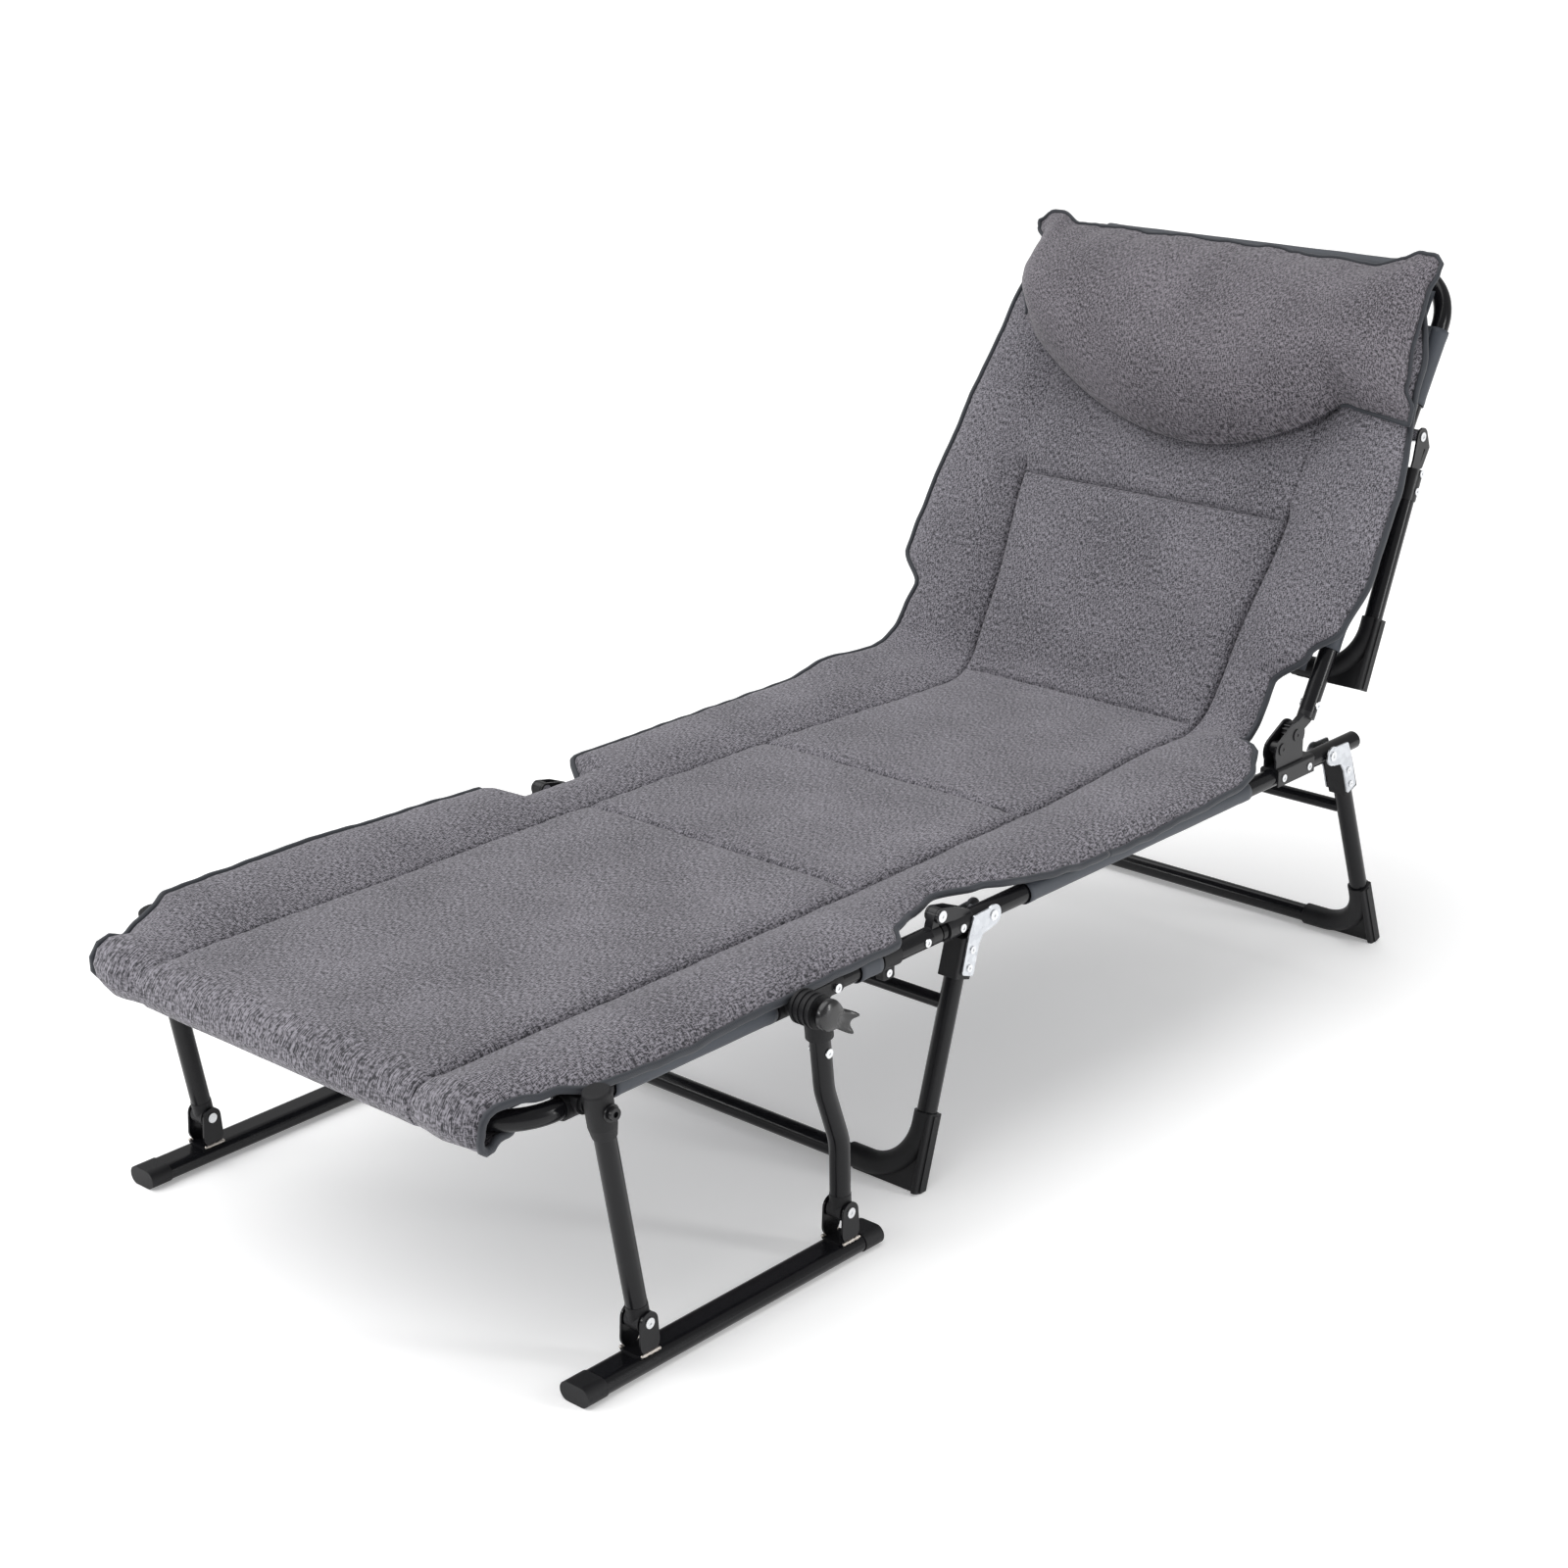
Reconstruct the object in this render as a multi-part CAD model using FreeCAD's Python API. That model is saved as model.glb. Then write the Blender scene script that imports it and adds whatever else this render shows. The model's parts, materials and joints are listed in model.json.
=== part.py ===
import FreeCAD, Part
import os
from math import atan2, cos, degrees, pi, radians, sin, sqrt, tan

# Folding lounge chair with a quilted mattress, millimetres.
# X runs across the chair, with +X at the sitter's left. Y runs from the foot end to the head end.
# Z is up from the floor. The origin is on the floor under the middle of the chair.

V = FreeCAD.Vector
os.makedirs("parts", exist_ok=True)

# Driving dimensions: the steel tube and the three bed sections
tube_r = 11.0
tube_wall = 1.2
rail_x = 300.0
rail_z = 285.0
corner_r = 62.0
foot_y = -793.0
hinge_y = -182.0
hinge_z = 306.0
seat_end_y = 620.0
end_gap = 1.0

# The backrest, set out from the foot of its tubes along the slope and square to it
back_angle = 58.9
back_y = 502.5
back_z = 327.7
back_top = 586.0
back_start = 24.0
recline_y = 480.4
recline_z = 330.0

# The folding legs: pivots on the rails, and where the feet stand
centre_pivot_y = -104.0
centre_foot_y = -223.0
rear_pivot_y = 553.0
rear_foot_y = 680.0
leg_offset = 27.8
boot_height = 88.0
boot_r = 13.6
floor_gap = 3.0
back_leg_x = 326.5
back_leg_pivot = 382.0
back_leg_splay = 7.5
back_leg_length = 313.0

# The foot end's parallel legs and their skids
post_x = 337.0
post_top_z = 290.5
post_foot_z = 54.0
front_post_y = -708.9
rear_post_y = -418.6
post_lean = 40.0
skid_width = 37.0
skid_height = 19.0
skid_start_y = -755.0
skid_end_y = -335.0
cap_length = 25.0
cap_skin = 1.0

# Fits and sheet thicknesses
pin_r = 4.0
running = 0.05
loop_slack = 0.35
rivet_head_r = 5.6
rivet_head_h = 1.2
plate = 2.0
plate_gap = 2.6
sleeve_skin = 1.5
sleeve_gap = 0.1

# Soft goods
pad_x = 322.0
pad_bottom = 297.9
pad_top = 327.0
pad_taper = 92.0
hinge_notch_start = -240.0
waist_x = 236.0
back_pad_near = 14.0
back_pad_far = 43.0
pillow_far = 92.0

left_right = (("left", 1.0), ("right", -1.0))


# ---------------------------------------------------------------- shared shape makers

def save(name, *solids):
    shape = solids[0] if len(solids) == 1 else Part.makeCompound(list(solids))
    shape.exportStep("parts/" + name + ".step")


def box(x0, x1, y0, y1, z0, z1):
    return Part.makeBox(x1 - x0, y1 - y0, z1 - z0, V(x0, y0, z0))


def rod(start, end, radius):
    along = end - start
    return Part.makeCylinder(radius, along.Length, start, along)


def cross_pin(x0, x1, y, z, radius):
    return Part.makeCylinder(radius, x1 - x0, V(x0, y, z), V(1, 0, 0))


def mirrored(shape):
    return shape.mirror(V(0, 0, 0), V(1, 0, 0))


def to_side(shape, side):
    return shape if side > 0 else mirrored(shape)


def both(solids):
    """Solids made on the left, followed by their mirror images."""
    return solids + [mirrored(solid) for solid in solids]


def drill(y, z, radius=pin_r):
    """The solid of a hole drilled right through the left side tube and what is on it."""
    return cross_pin(rail_x - 20, rail_x + 20, y, z, radius)


def bent_wire(points, radius):
    """Straight runs joined by tangent arcs of one radius."""
    edges = []
    start = points[0]
    for before, corner, after in zip(points, points[1:], points[2:]):
        towards = (before - corner).normalize()
        away = (after - corner).normalize()
        half = towards.getAngle(away) / 2
        reach = radius / tan(half)
        first = corner + towards * reach
        last = corner + away * reach
        middle = (towards + away).normalize()
        top = corner + middle * (radius / sin(half) - radius)
        if (first - start).Length > 0.01:
            edges.append(Part.LineSegment(start, first).toShape())
        edges.append(Part.Arc(first, top, last).toShape())
        start = last
    edges.append(Part.LineSegment(start, points[-1]).toShape())
    return Part.Wire(edges)


def swept(points, bend, radius):
    path = bent_wire(points, bend)
    along = points[1] - points[0]
    ring = Part.Wire(Part.makeCircle(radius, points[0], along))
    return path.makePipeShell([ring], True, False)


def tube(points, bend, radius=tube_r, wall=tube_wall):
    """A round tube, open at both ends, bent to the given path."""
    return swept(points, bend, radius).cut(swept(points, bend, radius - wall))


def strap(x0, x1, stations):
    """A plate from x0 to x1 whose outline wraps circles (y, z, radius) one after another."""
    solid = None
    for y, z, r in stations:
        disc = cross_pin(x0, x1, y, z, r)
        solid = disc if solid is None else solid.fuse(disc)
    for (y1, z1, r1), (y2, z2, r2) in zip(stations, stations[1:]):
        span = sqrt((y2 - y1) ** 2 + (z2 - z1) ** 2)
        heading = atan2(z2 - z1, y2 - y1)
        lean = atan2(sqrt(span ** 2 - (r1 - r2) ** 2), r1 - r2)
        corners = []
        turns = ((y1, z1, r1, lean), (y2, z2, r2, lean), (y2, z2, r2, -lean), (y1, z1, r1, -lean))
        for cy, cz, r, turn in turns:
            corners.append(V(x0, cy + r * cos(heading + turn), cz + r * sin(heading + turn)))
        face = Part.Face(Part.makePolygon(corners + corners[:1]))
        solid = solid.fuse(face.extrude(V(x1 - x0, 0, 0)))
    return solid.removeSplitter()


def rivet(x_in, x_out, y, z, radius=pin_r, head_r=rivet_head_r):
    """A rivet along X from x_in to x_out with a low head at each end."""
    shank = cross_pin(x_in, x_out, y, z, radius)
    outer = cross_pin(x_out, x_out + rivet_head_h, y, z, head_r)
    inner = cross_pin(x_in - rivet_head_h, x_in, y, z, head_r)
    hollow = cross_pin(x_out + rivet_head_h / 2, x_out + rivet_head_h + 1, y, z, radius / 2)
    return shank.fuse([outer, inner]).cut(hollow).removeSplitter()


def on_back(s, n, x=0.0):
    """A point s up the backrest's tubes and n in front of them."""
    a = radians(back_angle)
    return V(x, back_y + s * cos(a) - n * sin(a), back_z + s * sin(a) + n * cos(a))


def lay_back(shape):
    """Take a shape drawn flat (Y up the back, Z out of its front) to the backrest's slope."""
    turned = shape.copy()
    turned.rotate(V(0, 0, 0), V(1, 0, 0), back_angle)
    turned.translate(V(0, back_y, back_z))
    return turned


def rounded(shape, radius, pick):
    """Round the edges of a shape that the test picks out."""
    return shape.makeFillet(radius, [edge for edge in shape.Edges if pick(edge)])


def along(edge, axis):
    direction = edge.Vertexes[-1].Point - edge.Vertexes[0].Point
    return direction.Length > 0 and abs(direction.normalize().dot(axis)) > 0.999


# ---------------------------------------------------------------- bed rails and the back frame

def section_rail(x, start_y, end_y):
    return tube_run(V(x, start_y, rail_z), V(x, end_y, rail_z))


def tube_run(start, end):
    return rod(start, end, tube_r).cut(rod(start, end, tube_r - tube_wall))


def make_seat_rail(side):
    """One straight side tube of the seat, drilled for its hinge, ratchet and leg rivets."""
    rail = section_rail(rail_x, hinge_y + end_gap, seat_end_y)
    for y, z in seat_rail_holes:
        rail = rail.cut(drill(y, z))
    return to_side(rail, side)


def make_foot_frame():
    """The foot end's tube, bent to a U."""
    near = V(rail_x, foot_rail_end, rail_z)
    far = V(-rail_x, foot_rail_end, rail_z)
    frame = tube([near, V(rail_x, foot_y, rail_z), V(-rail_x, foot_y, rail_z), far], corner_r)
    for y, z in foot_rail_holes:
        frame = frame.cut(both([drill(y, z)]))
    return frame


def make_back_frame():
    """The backrest's tube, bent to an arch, drilled for the ratchet arms and the back leg."""
    points = []
    for x, s in ((rail_x, back_start), (rail_x, back_top), (-rail_x, back_top), (-rail_x, back_start)):
        points.append(on_back(s, 0, x))
    frame = tube(points, corner_r + 4)
    for s in (arm_rivet_s, back_leg_pivot):
        hole = on_back(s, 0)
        frame = frame.cut(both([drill(hole.y, hole.z)]))
    return frame


# ---------------------------------------------------------------- hinge between foot and seat

ear_r = 8.4
ear_in = 6.0
ear_out = 8.6
tongue_half = 5.4
tongue_root = 7.0
tongue_rise = 4.0
tongue_root_r = 6.5
collar_r = 13.2
seat_collar = (-172.0, -132.0)
foot_plug_end = -236.0
foot_rail_end = -197.0
seat_collar_rivet = (-153.0, rail_z)
foot_hinge_rivet = (-208.0, rail_z)
arm_rivet_s = 34.3
channel_rivets = ((450.0, rail_z), (504.0, rail_z))
ratchet_low = (450.4, 320.0)
seat_rail_holes = (seat_collar_rivet, (centre_pivot_y, rail_z), (rear_pivot_y, rail_z)) + channel_rivets
clip_screw = (-263.5, 268.0)
bracket_screw = (-354.7, rail_z)
foot_rail_holes = (foot_hinge_rivet, (front_post_y, post_top_z), bracket_screw)


def collar(y0, y1):
    outer = rod(V(rail_x, y0, rail_z), V(rail_x, y1, rail_z), collar_r)
    return outer.cut(rod(V(rail_x, y0 - 1, rail_z), V(rail_x, y1 + 1, rail_z), tube_r))


def make_seat_hinge(side):
    """A collar on the seat rail with two ears that hold the hinge pin."""
    body = collar(*seat_collar)
    body = body.cut(drill(*seat_collar_rivet))
    for x0, x1 in ((rail_x + ear_in, rail_x + ear_out), (rail_x - ear_out, rail_x - ear_in)):
        ear = strap(x0, x1, ((hinge_y, hinge_z, ear_r), (seat_collar[0] + 9, hinge_z - 3, 7.5),
                             (seat_collar[1] - 8, rail_z + tube_r, 5.0)))
        room = rod(V(rail_x, hinge_y - 40, rail_z), V(rail_x, seat_collar[1] + 9, rail_z), tube_r + 0.6)
        ear = ear.cut(room)
        body = body.fuse(ear.cut(cross_pin(x0 - 1, x1 + 1, hinge_y, hinge_z, pin_r)))
    return to_side(body.removeSplitter(), side)


def make_foot_hinge(side):
    """The plug in the end of the foot rail, with the tongue that turns between the ears."""
    face = hinge_y - end_gap
    body = rod(V(rail_x, foot_rail_end, rail_z), V(rail_x, face, rail_z), tube_r)
    body = body.fuse(rod(V(rail_x, foot_plug_end, rail_z), V(rail_x, face, rail_z), tube_r - tube_wall))
    inner, outer = rail_x - tongue_half, rail_x + tongue_half
    root = (foot_rail_end + tongue_root, rail_z + tongue_rise, tongue_root_r)
    tongue = strap(inner, outer, ((hinge_y, hinge_z, ear_r), root))
    tongue = tongue.cut(box(inner - 1, outer + 1, face, face + 20, rail_z, hinge_z))
    body = body.fuse([tongue, cross_pin(inner, outer, hinge_y, hinge_z, ear_r)])
    body = body.cut(drill(*foot_hinge_rivet))
    body = body.cut(drill(hinge_y, hinge_z, pin_r + running))
    return to_side(body.removeSplitter(), side)


# ---------------------------------------------------------------- ratchet hinge of the backrest

cheek_in = 6.4
cheek_out = 9.0
gear_r = 15.0
gear_half = 4.0
gear_teeth = 18
channel_wall = 2.0


def make_channel(side):
    """The pressed channel that saddles the seat rail under the ratchet."""
    y0 = channel_rivets[0][0] - 12
    y1 = channel_rivets[1][0] + 11
    half = tube_r + channel_wall
    outer = box(rail_x - half, rail_x + half, y0, y1, rail_z - 9, rail_z + tube_r + channel_wall)
    outer = rounded(outer, 4.0, lambda e: along(e, V(0, 1, 0)) and e.Vertexes[0].Z > rail_z)
    inner = box(rail_x - tube_r, rail_x + tube_r, y0 - 1, y1 + 1, rail_z - 10, rail_z)
    inner = inner.fuse(rod(V(rail_x, y0 - 1, rail_z), V(rail_x, y1 + 1, rail_z), tube_r))
    body = outer.cut(inner)
    for y, z in channel_rivets:
        body = body.cut(drill(y, z))
    return to_side(body, side)


def make_cheeks(side):
    """The two bean-shaped plates that stand on the channel and carry the ratchet."""
    floor = rail_z + tube_r + channel_wall
    bean = ((recline_y, recline_z, 17.0), (ratchet_low[0] + 2, ratchet_low[1] - 4, 16.5))
    plates = []
    for x0, x1 in ((rail_x + cheek_in, rail_x + cheek_out), (rail_x - cheek_out, rail_x - cheek_in)):
        cheek = strap(x0, x1, bean)
        cheek = cheek.fuse(box(x0, x1, ratchet_low[0] - 12, recline_y + 14, floor, recline_z - 4))
        cheek = cheek.cut(box(x0 - 1, x1 + 1, recline_y - 90, recline_y + 90, floor - 30, floor))
        cheek = cheek.cut(cross_pin(x0 - 1, x1 + 1, recline_y, recline_z, pin_r))
        cheek = cheek.cut(cross_pin(x0 - 1, x1 + 1, *ratchet_low, pin_r))
        plates.append(to_side(cheek.removeSplitter(), side))
    return plates


def make_arm(side):
    """The backrest's toothed disc with its neck and the spigot inside the back tube."""
    outline = []
    for step in range(gear_teeth * 4):
        r = gear_r if step % 4 in (0, 1) else gear_r - 2.4
        a = 2 * pi * step / (gear_teeth * 4)
        outline.append(V(rail_x - gear_half, recline_y + r * cos(a), recline_z + r * sin(a)))
    disc = Part.Face(Part.makePolygon(outline + outline[:1])).extrude(V(2 * gear_half, 0, 0))
    neck_end = on_back(back_start - 5, 0, rail_x)
    neck = strap(rail_x - gear_half, rail_x + gear_half,
                 ((recline_y, recline_z, 9.0), (neck_end.y, neck_end.z, 9.0)))
    shoulder = rod(on_back(back_start - 7, 0, rail_x), on_back(back_start, 0, rail_x), tube_r)
    spigot = rod(on_back(back_start - 1, 0, rail_x), on_back(back_start + 40, 0, rail_x), tube_r - tube_wall)
    arm = disc.fuse([neck, shoulder, spigot])
    arm = arm.cut(drill(recline_y, recline_z, pin_r + running))
    hole = on_back(arm_rivet_s, 0)
    arm = arm.cut(drill(hole.y, hole.z))
    return to_side(arm.removeSplitter(), side)


def make_pawl(side):
    """The pawl that turns on the lower rivet and catches the teeth."""
    a = atan2(recline_z - ratchet_low[1], recline_y - ratchet_low[0])
    tip = 13.0
    end = (ratchet_low[0] + tip * cos(a), ratchet_low[1] + tip * sin(a), 1.6)
    pawl = strap(rail_x - gear_half, rail_x + gear_half, ((*ratchet_low, 8.0), end))
    pawl = pawl.cut(cross_pin(rail_x - 20, rail_x + 20, *ratchet_low, pin_r))
    return to_side(pawl, side)


# ---------------------------------------------------------------- folding legs, made once in their own frame
# A leg hangs from its pivot: Y is sideways from the pivot and Z is along the leg, up.

holder_half = 12.9
holder_in = 15.2
holder_out = 42.0
holder_bottom = -71.0
rail_clear = 13.6
leg_tube_top = -54.0
leg_rivets = ((25.5, -38.0), (25.0, -58.0))
plate_outline = ((-12.0, 0.0), (-2.0, -13.0), (12.5, -20.0), (16.0, -33.0), (15.5, -67.0), (35.0, -66.0),
                 (36.0, -20.0), (34.0, -1.5), (4.0, 9.5))
leg_rivet_r = 2.5
crossbar_r = 8.0
crossbar_drop = 101.0
back_plate_in = 325.0
back_collar_r = 12.4
kite_plate = 2.5
kite_top = -40.0
kite_rivets = ((0.0, -44.0), (0.0, -66.0))


def leg_tube(half_width, length, offset, top):
    """A leg's tube, bent to a U."""
    bar_z = -length + floor_gap + tube_r
    points = [V(half_width, offset, top), V(half_width, offset, bar_z),
              V(-half_width, offset, bar_z), V(-half_width, offset, top)]
    return tube(points, corner_r)


def leg_crossbar(half_width, offset):
    """The thinner tube welded between the two sides of a leg under the seat."""
    side = half_width - sqrt(tube_r ** 2 - crossbar_r ** 2) - 0.2
    ends = (V(-side, offset, -crossbar_drop), V(side, offset, -crossbar_drop))
    return rod(*ends, crossbar_r).cut(rod(*ends, crossbar_r - tube_wall))


def leg_boot(half_width, length, offset):
    """The plastic shoe round a lower corner: a sleeve on the bend, a web and an outer flange."""
    bar_z = -length + floor_gap + tube_r
    top = -length + boot_height
    inner_end = half_width - corner_r - 26
    path = [V(half_width, offset, top), V(half_width, offset, bar_z), V(inner_end, offset, bar_z)]
    shoe = swept(path, corner_r, boot_r)
    web = box(inner_end + 8, half_width + 8, offset - 4, offset + 4, -length, top - 2)
    bend_mid = V(half_width - corner_r, offset, bar_z + corner_r)
    hollow = Part.makeCylinder(corner_r, 12, bend_mid - V(0, 6, 0), V(0, 1, 0))
    above = box(inner_end, half_width - corner_r, offset - 6, offset + 6, bar_z, top)
    beside = box(inner_end, half_width, offset - 6, offset + 6, bar_z + corner_r, top)
    web = web.cut(hollow.fuse([above, beside]))
    flange = box(half_width + 6, half_width + 13, offset - 11, offset + 11, -length, top)
    flange = rounded(flange, 3.0, lambda e: along(e, V(0, 0, 1)))
    rib = box(half_width + 13, half_width + 14.4, offset - 3.5, offset + 3.5, -length + 2, top - 2)
    shoe = shoe.fuse([web, flange, rib])
    shoe = shoe.cut(swept([path[0] + V(0, 0, 1), path[1], path[2] - V(1, 0, 0)], corner_r, tube_r))
    return shoe.removeSplitter()


def leg_plate(x0, turn):
    """The J-shaped plate that joins the leg's holder to its pivot."""
    corners = [V(x0, turn * u, z) for u, z in plate_outline]
    body = Part.Face(Part.makePolygon(corners + corners[:1])).extrude(V(plate, 0, 0))
    body = rounded(body, 3.2, lambda e: along(e, V(1, 0, 0)))
    body = body.fuse(cross_pin(x0, x0 + plate, 0, 0, 12.0)).removeSplitter()
    return body.cut(cross_pin(x0 - 1, x0 + plate + 1, 0, 0, pin_r + running))


def floor_leg_side(length, offset, turn):
    """The left side's holder, plates, rivets and shoe of a leg under the seat."""
    rail_out = tube_r + plate_gap
    y0, y1 = sorted((turn * holder_in, turn * holder_out))
    holder = box(rail_x - holder_half, rail_x + holder_half, y0, y1, holder_bottom, 30)
    holder = rounded(holder, 3.0, lambda e: along(e, V(0, 0, 1)))
    holder = holder.cut(rod(V(rail_x, offset, holder_bottom - 1), V(rail_x, offset, leg_tube_top), tube_r))
    plates = [leg_plate(x0, turn) for x0 in (rail_x + rail_out, rail_x - rail_out - plate)]
    rivets = []
    half = rail_out + plate
    for u, z in leg_rivets:
        shank = cross_pin(rail_x - half, rail_x + half, turn * u, z, leg_rivet_r)
        holder = holder.cut(shank)
        plates = [body.cut(shank) for body in plates]
        rivets.append(rivet(rail_x - half, rail_x + half, turn * u, z, leg_rivet_r, 4.2))
    return {"sleeves": [holder], "plates": plates, "rivets": rivets,
            "boots": [leg_boot(rail_x, length, offset)]}


def hang(shape, pivot_y, pivot_z, tilt):
    """Place a leg drawn in its own frame on its pivot, tilted about X."""
    placed = shape.copy()
    placed.rotate(V(0, 0, 0), V(1, 0, 0), tilt)
    placed.translate(V(0, pivot_y, pivot_z))
    return placed


def save_floor_leg(name, pivot_y, end_y):
    """One folding U leg under the seat. Its shoes are cut flat where they stand on the floor.

    Its holders are cut level just under the rails."""
    reach = end_y - pivot_y
    turn = 1.0 if reach > 0 else -1.0
    offset = turn * leg_offset
    length = sqrt(reach ** 2 + rail_z ** 2 - leg_offset ** 2)
    tilt = degrees(atan2(reach, rail_z) - atan2(offset, length))
    frame = leg_tube(rail_x, length, offset, leg_tube_top).fuse(leg_crossbar(rail_x, offset))
    for u, z in leg_rivets:
        frame = frame.cut(both([drill(turn * u, z, leg_rivet_r)]))
    room = {"boots": box(-500, 500, end_y - 200, end_y + 200, 0, 200),
            "sleeves": box(-500, 500, pivot_y - 200, pivot_y + 200, 0, rail_z - rail_clear)}
    save(name + "_frame", hang(frame, pivot_y, rail_z, tilt))
    for kind, solids in floor_leg_side(length, offset, turn).items():
        placed = []
        for solid in both(solids):
            hung = hang(solid, pivot_y, rail_z, tilt)
            placed.append(hung.common(room[kind]) if kind in room else hung)
        save(name + "_" + kind, *placed)


def save_back_leg():
    """The backrest's own U leg, folded up behind it on two kite-shaped plates."""
    pivot = on_back(back_leg_pivot, 0)
    tilt = back_angle + back_leg_splay - 90
    frame = leg_tube(back_leg_x, back_leg_length, 0, kite_top)
    collar_low = V(back_leg_x, 0, kite_top - 38)
    collar_high = V(back_leg_x, 0, kite_top)
    holder = rod(collar_low, collar_high, back_collar_r)
    plate_out = back_plate_in + kite_plate
    neck = strap(back_plate_in, plate_out, ((0, 0, 11.0), (2, -30, 8.0), (0, -52, 7.0)))
    kite = strap(back_plate_in, plate_out, ((0, 0, 11.0), (18, -9, 4.0), (14, -32, 4.0), (2, -36, 7.0)))
    holder = holder.fuse([neck, kite]).cut(rod(collar_low - V(0, 0, 1), collar_high, tube_r))
    holder = holder.cut(cross_pin(back_leg_x - 20, back_leg_x + 20, 0, 0, pin_r + running))
    rivets = []
    for y, z in kite_rivets:
        shank = (back_leg_x - back_collar_r, back_leg_x + back_collar_r, y, z, leg_rivet_r)
        holder = holder.cut(cross_pin(*shank))
        rivets.append(rivet(*shank, 4.6))
        frame = frame.cut(both([cross_pin(*shank)]))
    groups = {"holders": [holder.removeSplitter()], "rivets": rivets,
              "boots": [leg_boot(back_leg_x, back_leg_length, 0)]}
    save("back_leg_frame", hang(frame, pivot.y, pivot.z, tilt))
    for kind, solids in groups.items():
        save("back_leg_" + kind, *[hang(solid, pivot.y, pivot.z, tilt) for solid in both(solids)])


# ---------------------------------------------------------------- the foot end's parallel legs

post_length = sqrt(post_lean ** 2 + (post_top_z - post_foot_z) ** 2)
post_tilt = degrees(atan2(post_lean, post_top_z - post_foot_z))
socket_face = 322.2
clamp_face = post_x + 13
head_r = 14.5
plug_r = 11.4
plug_bore = tube_r - tube_wall
clevis_in = 12.0
clevis_out = 14.4
rear_bends = ((12.0, -34.0), (18.0, -95.0), (40.0, -160.0))


def front_post(side):
    """The straight front leg: its tube, and the moulded head and foot plug."""
    z_foot = -post_length
    post = tube_run(V(post_x, 0, z_foot + 18), V(post_x, 0, -22))
    head = rod(V(post_x, 0, -18), V(post_x, 0, 20), head_r)
    head = rounded(head, 3.0, lambda e: e.Curve.TypeId == "Part::GeomCircle" and e.BoundBox.ZMin > 19)
    skirt = Part.makeCone(12.3, head_r, 12, V(post_x, 0, -30))
    spigot = rod(V(post_x, 0, -50), V(post_x, 0, -22), plug_bore)
    recess = rod(V(post_x, 0, -31), V(post_x, 0, -22), tube_r)
    head = head.fuse(skirt).cut(recess).fuse(spigot)
    head = head.cut(cross_pin(post_x - 20, post_x + 20, 0, 0, pin_r + running))
    plug = foot_plug(V(post_x, 0, z_foot), V(0, 0, 1), pin_r + running)
    return [to_side(hang(shape, front_post_y, post_top_z, post_tilt), side) for shape in (post, head, plug)]


def foot_plug(pivot, up, bore):
    """The plastic plug in a leg's lower end, turned on the skid's rivet."""
    plug = rod(pivot, pivot + up * 18, plug_r)
    plug = plug.fuse([cross_pin(pivot.x - plug_r + 2, pivot.x + plug_r - 2, pivot.y, pivot.z, plug_r),
                      rod(pivot + up * 17, pivot + up * 40, plug_bore)])
    return plug.cut(cross_pin(pivot.x - 20, pivot.x + 20, pivot.y, pivot.z, bore)).removeSplitter()


def rear_post(side):
    """The cranked rear leg: its tube, the lobed clamp at its head, its plug and its rivet."""
    points = [V(post_x, rear_post_y + y, post_top_z + z) for y, z in rear_bends]
    foot = V(post_x, rear_post_y + post_lean, post_foot_z)
    post = tube(points + [foot + V(0, 0, 18)], 70.0)
    down = (points[1] - points[0]).normalize()
    clamp = cross_pin(socket_face + 0.4, clamp_face, rear_post_y, post_top_z, 17.0)
    clamp = clamp.fuse(rod(points[0] - down * 26, points[0], head_r))
    for x in (post_x - 11, post_x - 3.5, post_x + 4, post_x + 11):
        clamp = clamp.fuse(cross_pin(x - 1.3, x + 1.3, rear_post_y, post_top_z, 18.4))
    clamp = clamp.fuse(rod(points[0] - down, points[0] + down * 32, plug_bore))
    clamp = clamp.cut(cross_pin(post_x - 20, post_x + 20, rear_post_y, post_top_z, pin_r + running))
    hole = points[0] + down * 16
    shank = (post_x - tube_r, post_x + tube_r, hole.y, hole.z)
    post = post.cut(cross_pin(*shank, 3.0))
    clamp = clamp.cut(cross_pin(*shank, 3.0))
    plug = foot_plug(foot, V(0, 0, 1), pin_r + loop_slack)
    pieces = (post, clamp.removeSplitter(), plug, rivet(*shank, 3.0, 5.0))
    return [to_side(shape, side) for shape in pieces]


def knob(side):
    """The wing knob that locks the foot end's legs, moulded on its steel stud."""
    y, z = rear_post_y, post_top_z
    hub = cross_pin(clamp_face + 2, post_x + 24, y, z, 11.0)
    disc = cross_pin(post_x + 20.5, post_x + 29, y, z, 18.0)
    disc = rounded(disc, 3.5, lambda e: e.Curve.TypeId == "Part::GeomCircle" and
                   e.BoundBox.XMin > post_x + 28)
    wing = strap(post_x + 23, post_x + 31, ((y, z, 9.0), (y + 12, z - 16, 9.0), (y + 20, z - 26, 7.0)))
    wing = rounded(wing, 2.0, lambda e: e.BoundBox.XMin > post_x + 30.9)
    stud = cross_pin(socket_face - 8, clamp_face + 3, y, z, pin_r)
    return to_side(hub.fuse([disc, wing, stud]).removeSplitter(), side)


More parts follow.
